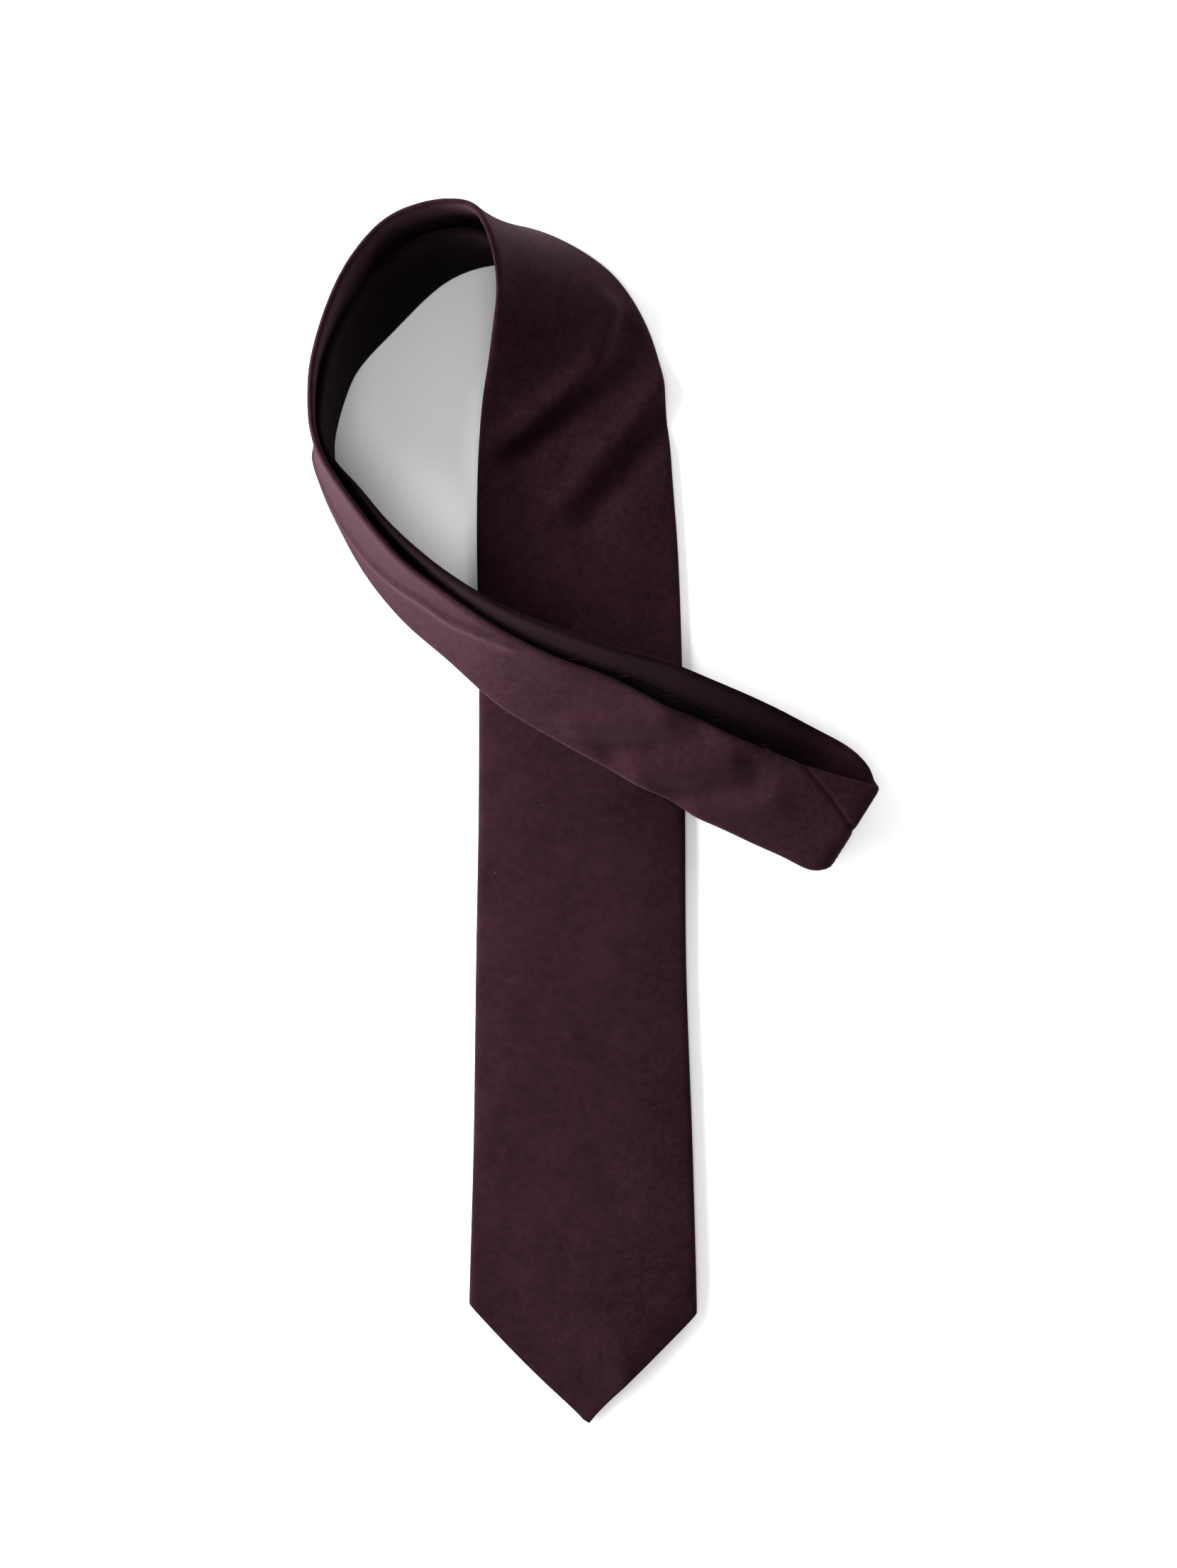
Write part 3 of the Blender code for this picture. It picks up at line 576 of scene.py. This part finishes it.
def shell(name, start, stop, section, ends, outline, apex, reach, material):
    """One piece of the outer cloth: front, both rolled edges and both back flaps."""
    rows = rows_between(start, stop)
    half_start, half_stop = float(half_width(start)), float(half_width(stop))
    at = np.repeat(rows[:, None], len(section.a), axis=1)
    hem = None
    if "pointed" in ends:
        half = half_start if ends[0] == "pointed" else half_stop
        turned = section.turned_in(half)
        slope = (apex - half) / turned.max()
        edge = outline(np.clip(section.v(half), -half, half), half)
        turning = turned > 0
        edge[turning] = outline(np.sign(section.v(half)[turning]) * half, half) + slope * turned[turning]
        hem = np.where(turned > 0, math.hypot(1, slope), math.sqrt(2))
    if ends[0] == "pointed":
        at = at + np.clip(1 - (at - start) / reach, 0, 1) * edge
    if ends[1] == "pointed":
        at = at - np.clip(1 - (stop - at) / reach, 0, 1) * edge
    inward = [np.full(at.shape, -CLOTH / 2), np.full(at.shape, CLOTH / 2)]
    both_ends = zip(ends, (half_start, half_stop), (rows - start, stop - rows))
    for end, half, away in both_ends:
        if end == "bias":
            away = away[:, None]
            slant = SEAM_SLOPE * section.unfolded(half)
            at = at - np.clip(1 - away / SEAM_REACH, 0, 1) * slant
            dip = seam_dip(away / math.hypot(1, SEAM_SLOPE))
            inward = [each + dip for each in inward]
    places = [at, at]
    if hem is not None:
        for k, profile in enumerate(hem_profile()):
            places[k], inward[k] = with_hem(at, inward[k], profile, hem, ends[0] == "pointed")
    grids = []
    for place, sunk in zip(places, inward):
        half = half_width(place)
        v, depth = section.v(half), section.depth
        grids.append(strip(place, v - section.side * sunk, depth - section.back * sunk))
    cloth = np.stack([section.unfolded(half_width(places[0])), places[0]], axis=-1)
    return sheet_mesh(name, grids[0], grids[1], cloth, material)


def layer(name, start, stop, faces, depths, margin, ends, outline, reach, material):
    """A flat inner layer that follows the strip."""
    rows = rows_between(start, stop, 1.5 * MM)
    share = np.linspace(-1, 1, faces + 1)
    at = np.repeat(rows[:, None], faces + 1, axis=1)
    if ends[0] == "pointed":
        half = float(half_width(start))
        at = at + np.clip(1 - (at - start) / reach, 0, 1) * outline(share * (half - margin), half)
    if ends[1] == "pointed":
        half = float(half_width(stop))
        at = at - np.clip(1 - (stop - at) / reach, 0, 1) * outline(share * (half - margin), half)
    v = (half_width(at) - margin) * share
    cloth = np.stack([v, at], axis=-1)
    return sheet_mesh(name, strip(at, v, depths[0]), strip(at, v, depths[1]), cloth, material)


def thread_mesh(name, runs, radius=THREAD_RADIUS, sides=6):
    """Sewing thread as closed tubes along lists of world points."""
    askew = (0.31, 0.17, 0.53)   # keeps the first ring's direction away from the thread's own
    points, faces = [], []
    for run in runs:
        run = np.array(run)
        ahead = np.gradient(run, axis=0)
        ahead /= np.linalg.norm(ahead, axis=1, keepdims=True)
        up = np.cross(ahead, np.roll(ahead, 1, axis=1) + askew)
        up /= np.linalg.norm(up, axis=1, keepdims=True)
        for k in range(1, len(run)):
            up[k] = up[k - 1] - ahead[k] * up[k - 1].dot(ahead[k])
            up[k] /= np.linalg.norm(up[k])
        side = np.cross(ahead, up)
        first = len(points)
        taper = np.ones(len(run))
        taper[[0, -1]] = 0.45
        for k in range(sides):
            turn = math.tau * k / sides
            ring = run + (radius * taper)[:, None] * (math.cos(turn) * up + math.sin(turn) * side)
            points.extend(ring.tolist())
        count = len(run)
        for k in range(sides):
            here, there = first + k * count, first + (k + 1) % sides * count
            for i in range(count - 1):
                faces.append((here + i, here + i + 1, there + i + 1, there + i))
        faces.append([first + k * count for k in range(sides)])
        faces.append([first + k * count + count - 1 for k in range(sides)][::-1])
    mesh = bpy.data.meshes.new(name)
    mesh.from_pydata(points, [], faces)
    return finished(name, mesh, THREAD, 80)


def stitch_runs(start, stop, pitch=9.0 * MM):
    """The slip stitch: short slanting stitches over the slit, each dipping under the flaps."""
    above, below = STRAP + 0.06 * MM, STRAP - 0.42 * MM
    runs, side = [], 1
    for s in np.arange(start, stop - pitch, pitch):
        shape = [(0.0, 1.3, below), (0.35, 1.0, above), (1.3, 0.35, above + 0.08 * MM),
                 (2.2, -0.35, above + 0.08 * MM), (3.1, -1.0, above), (3.5, -1.3, below)]
        places = np.array([(s + ds * MM, side * v * MM, depth) for ds, v, depth in shape])
        runs.append(strip(places[:, 0], places[:, 1], places[:, 2]))
        side = -side
    return runs


def tack_runs(s_middle, width=3.0 * MM, bars=8, pitch=0.27 * MM):
    """A bar tack: close parallel stitches across the slit."""
    runs = []
    for k in range(bars):
        s = s_middle + (k - (bars - 1) / 2) * pitch
        v = np.linspace(-width / 2, width / 2, 7)
        depth = STRAP + 0.12 * MM - 0.5 * MM * (np.abs(v) / (width / 2)) ** 6
        runs.append(strip(np.full(7, s), v, depth))
    return runs


def loop_run(s_middle):
    """The spare loop left at the end of the slip stitch: a teardrop lying on the back flaps."""
    length, half = 4.6 * MM, 1.9 * MM
    turn = np.linspace(-math.pi * 0.93, math.pi * 0.93, 30)
    s = s_middle + length * (1 + np.cos(turn)) / 2
    v = half * np.sin(turn) * (0.35 + 0.65 * (1 + np.cos(turn)) / 2)
    depth = STRAP + 0.15 * MM - 0.5 * MM * (np.abs(turn) / math.pi) ** 8
    return strip(s, v, depth)


# ---- materials ----------------------------------------------------------------------------------------
class Nodes:
    """Small helper for building a node tree."""

    def __init__(self, name):
        self.material = bpy.data.materials.new(name)
        self.material.use_nodes = True
        self.tree = self.material.node_tree
        self.shader = self.tree.nodes["Principled BSDF"]

    def add(self, kind, inputs=None, **settings):
        node = self.tree.nodes.new(kind)
        for key, value in settings.items():
            setattr(node, key, value)
        for key, value in (inputs or {}).items():
            if isinstance(value, bpy.types.NodeSocket):
                self.tree.links.new(value, node.inputs[key])
            else:
                node.inputs[key].default_value = value
        return node

    def math(self, operation, a, b=0.0):
        return self.add("ShaderNodeMath", {0: a, 1: b}, operation=operation).outputs[0]

    def total(self, parts):
        """The sum of (value, weight) pairs."""
        weighted = [self.math("MULTIPLY", value, weight) for value, weight in parts]
        result = weighted[0]
        for each in weighted[1:]:
            result = self.math("ADD", result, each)
        return result

    def ramp(self, factor, stops):
        node = self.add("ShaderNodeValToRGB", {"Fac": factor})
        elements = node.color_ramp.elements
        while len(elements) < len(stops):
            elements.new(0.5)
        for element, (place, colour) in zip(elements, stops):
            element.position, element.color = place, (*colour, 1.0)
        return node.outputs["Color"]

    def noise(self, vector, scale, detail=3.0, roughness=0.55):
        inputs = {"Vector": vector, "Scale": scale, "Detail": detail, "Roughness": roughness}
        return self.add("ShaderNodeTexNoise", inputs).outputs["Fac"]

    def set(self, **values):
        for key, value in values.items():
            socket = self.shader.inputs[key.replace("_", " ")]
            if isinstance(value, bpy.types.NodeSocket):
                self.tree.links.new(value, socket)
            else:
                socket.default_value = value


# From the fold on, the neck's cloth is painted darker, as painted shade for the pocket in the fold and
# the loop's inner faces; it fades in between the first two places along the strip (metres) to the last
# number's share.
NECK_PAINTED_SHADE = (0.796, 0.818, 0.24)
LINT_COLOUR = (0.055, 0.038, 0.044)


def cloth_material(name, dark, light, pitch, sheen, sheen_tint, weave_height, roughness, painted_shade=None):
    """Fine twill cut on the bias: two sets of threads at 45 degrees to the strip, and a nap over them."""
    n = Nodes(name)
    cloth = n.add("ShaderNodeUVMap", uv_map="Cloth").outputs["UV"]
    place = n.add("ShaderNodeTexCoord").outputs["Object"]
    split = n.add("ShaderNodeSeparateXYZ", {0: cloth})
    across, along = split.outputs["X"], split.outputs["Y"]
    wobble = n.math("MULTIPLY", n.math("SUBTRACT", n.noise(place, 420.0, 2.0), 0.5), 0.35 * pitch)
    warp = n.math("ADD", n.math("ADD", across, along), wobble)
    weft = n.math("ADD", n.math("SUBTRACT", across, along), wobble)
    turns = math.tau / (pitch * math.sqrt(2))
    warp_wave = n.math("SINE", n.math("MULTIPLY", warp, turns))
    weft_wave = n.math("SINE", n.math("MULTIPLY", weft, turns))
    diagonal = n.math("ADD", warp, n.math("MULTIPLY", weft, 0.5))
    twill = n.math("SINE", n.math("MULTIPLY", diagonal, turns))
    weave = n.total([(warp_wave, 0.3), (weft_wave, 0.3), (twill, 0.4)])
    nap = n.noise(place, 1500.0, 3.0, 0.7)
    mottle = n.noise(place, 75.0, 4.0, 0.6)
    broad = n.noise(place, 16.0, 2.0, 0.5)
    fleck = n.noise(place, 420.0, 3.0, 0.65)
    shade = n.total([(mottle, 0.30), (broad, 0.18), (fleck, 0.42), (nap, 0.34), (weave, 0.08)])
    body = n.ramp(shade, [(0.46, dark), (0.74, light)])
    lint = n.ramp(n.noise(place, 900.0, 1.0, 0.4), [(0.80, (0.0, 0.0, 0.0)), (0.83, (1.0, 1.0, 1.0))])
    # Sockets 6 and 7 are the Mix node's two colours, and output 2 is its colour result.
    mix = n.add("ShaderNodeMix", {0: lint, 6: body, 7: (*LINT_COLOUR, 1.0)}, data_type="RGBA")
    colour = mix.outputs[2]
    # Optional painted shade: the colour is scaled down between two places along the strip, standing in for
    # shade.
    if painted_shade is not None:
        first, last, share = painted_shade
        inputs = {"Value": along, "From Min": first, "From Max": last, "To Min": 1.0, "To Max": share}
        unshaded_share = n.add("ShaderNodeMapRange", inputs, interpolation_type="SMOOTHSTEP").outputs["Result"]
        painted_darkening = n.add("ShaderNodeVectorMath", {0: colour, "Scale": unshaded_share}, operation="SCALE")
        colour = painted_darkening.outputs[0]
    height = n.total([(weave, 0.5), (nap, 0.6)])
    bump = n.add("ShaderNodeBump", {"Strength": 1.0, "Distance": weave_height, "Height": height})
    soft = n.math("ADD", n.math("MULTIPLY", mottle, 0.12), roughness - 0.06)
    n.set(Base_Color=colour, Roughness=soft, Normal=bump.outputs["Normal"], Specular_IOR_Level=0.02,
          Sheen_Weight=sheen, Sheen_Roughness=0.35, Sheen_Tint=(*sheen_tint, 1.0))
    return n.material


def wool_material(name):
    n = Nodes(name)
    place = n.add("ShaderNodeTexCoord").outputs["Object"]
    fibres = n.noise(place, 900.0, 5.0, 0.75)
    colour = n.ramp(fibres, [(0.3, (0.30, 0.26, 0.21)), (0.75, (0.55, 0.50, 0.43))])
    bump = n.add("ShaderNodeBump", {"Strength": 0.8, "Distance": 0.3 * MM, "Height": fibres})
    n.set(Base_Color=colour, Roughness=0.95, Normal=bump.outputs["Normal"], Sheen_Weight=0.4)
    return n.material


def thread_material(name):
    n = Nodes(name)
    place = n.add("ShaderNodeTexCoord").outputs["Object"]
    twist = n.noise(place, 2600.0, 2.0, 0.5)
    colour = n.ramp(twist, [(0.3, (0.0060, 0.0022, 0.0035)), (0.7, (0.0170, 0.0075, 0.0110))])
    bump = n.add("ShaderNodeBump", {"Strength": 0.6, "Distance": 0.1 * MM, "Height": twist})
    n.set(Base_Color=colour, Roughness=0.62, Normal=bump.outputs["Normal"], Specular_IOR_Level=0.08)
    return n.material


SHELL_DARK, SHELL_LIGHT = (0.0080, 0.0025, 0.0043), (0.0205, 0.0076, 0.0118)
SHELL_PITCH, SHELL_WEAVE, SHELL_ROUGHNESS = 0.42 * MM, 0.10 * MM, 0.85
SHELL_TINT = (1.0, 0.62, 0.78)
AUBERGINE = cloth_material("aubergine_cloth", SHELL_DARK, SHELL_LIGHT, SHELL_PITCH, 0.09, SHELL_TINT,
                           SHELL_WEAVE, SHELL_ROUGHNESS)
# The neck's cloth is a shaded copy of the shell cloth: weaker sheen and painted shade from the fold on, so
# the fold's pocket and the loop's inner faces stay dark.
NECK_CLOTH_PAINTED_SHADE = cloth_material("aubergine_neck_cloth_painted_shade", SHELL_DARK, SHELL_LIGHT, SHELL_PITCH, 0.018,
                            SHELL_TINT, SHELL_WEAVE, SHELL_ROUGHNESS, NECK_PAINTED_SHADE)
LINING = cloth_material("lining_cloth", (0.0070, 0.0022, 0.0037), (0.0140, 0.0050, 0.0078),
                        0.30 * MM, 0.06, (1.0, 0.66, 0.80), 0.04 * MM, 0.52)
WOOL = wool_material("interlining_wool")
THREAD = thread_material("sewing_thread")


# ---- the tie ------------------------------------------------------------------------------------------
def keeper_s():
    """The keeper's place along the strip."""
    blade_only = slice(0, 900)   # the first 450 mm of the table, before y comes back down
    middle_y = (EDGES[blade_only, 1] + EDGES[blade_only, 4]) / 2
    return float(np.interp(KEEPER_Y, middle_y, ALONG[blade_only]))


def keeper_path():
    """Middle line of the keeper's cloth in the plane across the tie: x and z, left to right.

    From its sewn ends on the blade's back it comes down beside the tail and runs under it.
    """
    sewn_to_corner = (10.0, 8.8, 7.6, 6.4, 5.2, 4.2)                 # mm beyond the tail's edge
    corner_to_under = ((3.2, 0.82), (2.2, 0.50), (1.2, 0.30), (0.0, 0.21), (-3.0, 0.19), (-9.0, 0.19))
    tail_left = float(tail_middle(KEEPER_Y) - tail_half(KEEPER_Y))
    tail_right = float(tail_middle(KEEPER_Y) + tail_half(KEEPER_Y))
    s = keeper_s()
    blade_middle = float(strip(s, 0.0, 0.0)[0])
    left, right = [], []
    for outwards, tail_edge, path in ((-1, tail_left, left), (1, tail_right, right)):
        for beyond in sewn_to_corner:
            x = tail_edge + outwards * beyond * MM
            z = float(strip(s, -(x - blade_middle), STRAP + 0.36 * MM)[2])
            path.append((x, z))
        for beyond, z in corner_to_under:
            if z * MM < path[-1][1] - 0.05 * MM or beyond < 2:
                path.append((tail_edge + outwards * beyond * MM, z * MM))
    return np.array(left + right[::-1])


def keeper_loop():
    """A folded tube of shell cloth across the back of the blade, with the tail threaded through it."""
    path = keeper_path()
    run = np.concatenate([[0.0], np.cumsum(np.linalg.norm(np.diff(path, axis=0), axis=1))])
    even = np.linspace(0, run[-1], 90)
    path = np.stack([np.interp(even, run, path[:, k]) for k in (0, 1)], axis=1)
    for _ in range(6):
        path[1:-1] = (path[:-2] + 2 * path[1:-1] + path[2:]) / 4
    ahead = np.gradient(path, axis=0)
    ahead /= np.linalg.norm(ahead, axis=1, keepdims=True)
    normal = np.stack([-ahead[:, 1], ahead[:, 0]], axis=1)
    across = np.array([-5.1, -5.0, -4.7, -4.2, -2.5, 0.0, 2.5, 4.2, 4.7, 5.0, 5.1]) * MM
    thick = 0.17 * MM * np.sqrt(np.clip(1 - (np.abs(across) / across[-1]) ** 12, 0.02, 1))
    grids = []
    for sign in (1, -1):
        offset = path[:, None, :] + sign * normal[:, None, :] * thick[None, :, None]
        y = np.broadcast_to(KEEPER_Y + across, offset.shape[:2])
        grids.append(np.stack([offset[..., 0], y, offset[..., 1]], axis=-1))
    u, v = np.meshgrid(across, even)
    return sheet_mesh("keeper", grids[0], grids[1], np.stack([u, v], axis=-1), AUBERGINE)


def keeper_tacks(side):
    """Overcast stitches that hold one end of the keeper to the blade's back."""
    s = keeper_s()
    edge = float(tail_middle(KEEPER_Y)) + side * (float(tail_half(KEEPER_Y)) + 9.7 * MM)
    middle = -(edge - float(strip(s, 0.0, 0.0)[0]))
    runs = []
    for k in range(7):
        at = s + (k - 3) * 1.3 * MM
        v = middle + side * np.array([-0.9, -0.7, -0.2, 0.5, 1.3, 1.6]) * MM
        depth = STRAP + np.array([0.25, 0.62, 0.66, 0.64, 0.30, -0.15]) * MM
        runs.append(strip(at + np.linspace(0, 0.5, 6) * MM, v, depth))
    return runs


blade = shell("blade_cloth", 0.0, NECK_SEAM - SEAM_GAP, WIDE, ("pointed", "bias"), blade_point,
              BLADE_APEX, BLADE_REACH, AUBERGINE)
neck = shell("neck_cloth", NECK_SEAM + SEAM_GAP, TAIL_SEAM - SEAM_GAP, NARROW, ("bias", "bias"), None,
             0.0, 0.0, NECK_CLOTH_PAINTED_SHADE)
tail = shell("tail_cloth", TAIL_SEAM + SEAM_GAP, LENGTH, NARROW, ("bias", "pointed"), tail_point,
             TAIL_APEX, TAIL_REACH, AUBERGINE)

blade_core = layer("blade_interlining", INTERLINING_INSET, INTERLINING_GAP[0], 36, INTERLINING_DEPTHS,
                   ROLL_WIDTH, ("pointed", "square"), blade_point, BLADE_REACH, WOOL)
tail_core = layer("neck_interlining", INTERLINING_GAP[1], LENGTH - INTERLINING_INSET, 24,
                  INTERLINING_DEPTHS, ROLL_WIDTH, ("square", "pointed"), tail_point, TAIL_REACH, WOOL)
blade_lining = layer("blade_lining", TIPPING_INSET, BLADE_TIPPING_TOP, 30, TIPPING_DEPTHS,
                     TIPPING_MARGIN, ("pointed", "square"), blade_point, BLADE_REACH, LINING)
tail_lining = layer("tail_lining", LENGTH - TAIL_TIPPING_LENGTH, LENGTH - TIPPING_INSET, 20,
                    TIPPING_DEPTHS, TIPPING_MARGIN, ("square", "pointed"), tail_point, TAIL_REACH, LINING)

TAIL_CLOSED = LENGTH - TAIL_APEX   # where the tail's back flaps meet, from the wide tip
stitches = thread_mesh("slip_stitching", stitch_runs(BLADE_APEX + 4 * MM, TAIL_CLOSED - 4 * MM))
blade_tack = thread_mesh("blade_tack", tack_runs(BLADE_APEX + 3 * MM))
tail_tack = thread_mesh("tail_tack", tack_runs(TAIL_CLOSED - 3 * MM))
blade_loop = thread_mesh("blade_spare_loop", [loop_run(BLADE_APEX - 6 * MM)])
tail_loop = thread_mesh("tail_spare_loop", [loop_run(TAIL_CLOSED + 1.5 * MM)])
keeper = keeper_loop()
left_tack = thread_mesh("keeper_left_stitches", keeper_tacks(-1))
right_tack = thread_mesh("keeper_right_stitches", keeper_tacks(1))


def declare_sheet(piece):
    """Reads the sheet's cloth coordinates into an array; nothing more is done with them."""
    coords = np.empty(len(piece.data.loops) * 2, np.float32)
    piece.data.uv_layers["Cloth"].data.foreach_get("uv", coords)


# ---- bodies, hidden CAD parts and cloth coordinates ---------------------------------------------------
for piece in (blade, blade_core, stitches):
    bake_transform(piece)
for piece in (neck, tail, tail_core, tail_lining, tail_tack, tail_loop, keeper, left_tack, right_tack):
    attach(piece, BODY)
for piece in (blade_lining, blade_tack, blade_loop):
    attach(piece, LOOSE_END)

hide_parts("blade_shell", "blade_shell_end")
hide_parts("neck_shell")
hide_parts("tail_shell")
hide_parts("interlining_blade", "interlining_end")
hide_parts("interlining_tail")
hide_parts("blade_tipping")
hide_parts("tail_tipping")
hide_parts("slip_stitch", "slip_stitch_end")
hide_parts("blade_bar_tack")
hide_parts("tail_bar_tack")
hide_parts("blade_thread_loop")
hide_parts("tail_thread_loop")
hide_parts("keeper_loop")
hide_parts("keeper_tack_left")
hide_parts("keeper_tack_right")

declare_sheet(blade)
declare_sheet(neck)
declare_sheet(tail)
declare_sheet(blade_core)
declare_sheet(tail_core)
declare_sheet(blade_lining)
declare_sheet(tail_lining)
declare_sheet(keeper)


# ---- floor, light and camera --------------------------------------------------------------------------
FLOOR_REACH = 12.0           # metres from the middle
FLOOR_DROP = 0.05 * MM       # the floor lies this far below the tie
FLOOR_TONES = (0.80, 0.82)

# Soft boxes for the tie and floor: place, size, power in watts, colour.
SOFT_BOXES = {
    "key": ((-0.645, 0.235, 0.265), 0.50, 24.0, (1.0, 0.985, 0.97)),
    "rim": ((0.40, 0.70, 0.35), 0.40, 3.6, (0.98, 0.99, 1.0)),
    "fill": ((-0.50, -0.30, 0.17), 0.30, 2.4, (1.0, 0.99, 0.98)),
}
# And one that falls on the floor alone.
WASH = ((-0.10, -0.30, 1.60), 1.0, 13.0, (1.0, 0.995, 0.985))

WORLD_COLOUR = (0.98, 0.985, 1.0, 1.0)
HORIZON, ZENITH = 4.0, 0.36                  # strength of the world's light, low down and overhead
HORIZON_TOP, ZENITH_START = 0.05, 0.50       # heights of direction between which it changes
BRIGHT_SIDE = (-0.85, 0.22, 0.0)

CAMERA_PLACE = (-0.34 * MM, 12.47 * MM, 763 * MM)   # straight above, looking down
LENS, SENSOR_WIDTH = 50.0, 36.0


def floor():
    mesh = bpy.data.meshes.new("floor")
    far, z = FLOOR_REACH, -FLOOR_DROP
    corners = [(-far, -far, z), (far, -far, z), (far, far, z), (-far, far, z)]
    mesh.from_pydata(corners, [], [(0, 1, 2, 3)])
    n = Nodes("pale_floor")
    place = n.add("ShaderNodeTexCoord").outputs["Object"]
    grain = n.noise(place, 9.0, 3.0, 0.5)
    low_tone, high_tone = [(tone,) * 3 for tone in FLOOR_TONES]
    n.set(Base_Color=n.ramp(grain, [(0.3, low_tone), (0.7, high_tone)]), Roughness=0.9)
    mesh.materials.append(n.material)
    obj = bpy.data.objects.new("floor", mesh)
    bpy.context.scene.collection.objects.link(obj)
    return obj


def area_light(name, where, size, power, colour):
    """A round soft box aimed at the origin, and unseen by the camera."""
    data = bpy.data.lights.new(name, "AREA")
    data.shape, data.size, data.energy, data.color = "DISK", size, power, colour
    obj = bpy.data.objects.new(name, data)
    obj.location = where
    aim = -obj.location.normalized()
    obj.rotation_mode = "QUATERNION"
    obj.rotation_quaternion = aim.to_track_quat("-Z", "Y")
    obj.visible_camera = False
    bpy.context.scene.collection.objects.link(obj)
    return obj


def only_on(light, lit):
    """The light falls on the given objects alone."""
    group = bpy.data.collections.new(light.name + "_lights")
    for each in lit:
        group.objects.link(each)
    light.light_linking.receiver_collection = group


def studio_world():
    """Bright round the horizon, brighter to the left, dim overhead."""
    world = bpy.data.worlds.new("studio")
    world.use_nodes = True
    tree = world.node_tree
    background = tree.nodes["Background"]
    background.inputs["Color"].default_value = WORLD_COLOUR
    direction = tree.nodes.new("ShaderNodeTexCoord").outputs["Generated"]
    split = tree.nodes.new("ShaderNodeSeparateXYZ")
    tree.links.new(direction, split.inputs[0])
    height = tree.nodes.new("ShaderNodeMapRange")
    height.interpolation_type = "SMOOTHSTEP"
    limits = {"From Min": HORIZON_TOP, "From Max": ZENITH_START, "To Min": HORIZON, "To Max": ZENITH}
    for key, value in limits.items():
        height.inputs[key].default_value = value
    tree.links.new(split.outputs["Z"], height.inputs["Value"])
    towards = tree.nodes.new("ShaderNodeVectorMath")
    towards.operation = "DOT_PRODUCT"
    towards.inputs[1].default_value = BRIGHT_SIDE
    tree.links.new(direction, towards.inputs[0])
    share = tree.nodes.new("ShaderNodeMath")
    share.operation = "ADD"
    share.inputs[1].default_value = 1.0
    tree.links.new(towards.outputs["Value"], share.inputs[0])
    strength = tree.nodes.new("ShaderNodeMath")
    strength.operation = "MULTIPLY"
    tree.links.new(height.outputs["Result"], strength.inputs[0])
    tree.links.new(share.outputs[0], strength.inputs[1])
    tree.links.new(strength.outputs[0], background.inputs["Strength"])
    bpy.context.scene.world = world


def surroundings():
    ground = floor()
    for name, (where, size, power, colour) in SOFT_BOXES.items():
        area_light(name, where, size, power, colour)
    only_on(area_light("wash", *WASH), [ground])
    studio_world()
    bpy.context.scene.view_settings.view_transform = "Standard"


def camera():
    data = bpy.data.cameras.new("camera")
    data.lens, data.sensor_width = LENS, SENSOR_WIDTH
    data.clip_start, data.clip_end = 0.01, 10.0
    obj = bpy.data.objects.new("camera", data)
    obj.location = CAMERA_PLACE
    bpy.context.scene.collection.objects.link(obj)
    bpy.context.scene.camera = obj


surroundings()
camera()

bpy.context.view_layer.update()
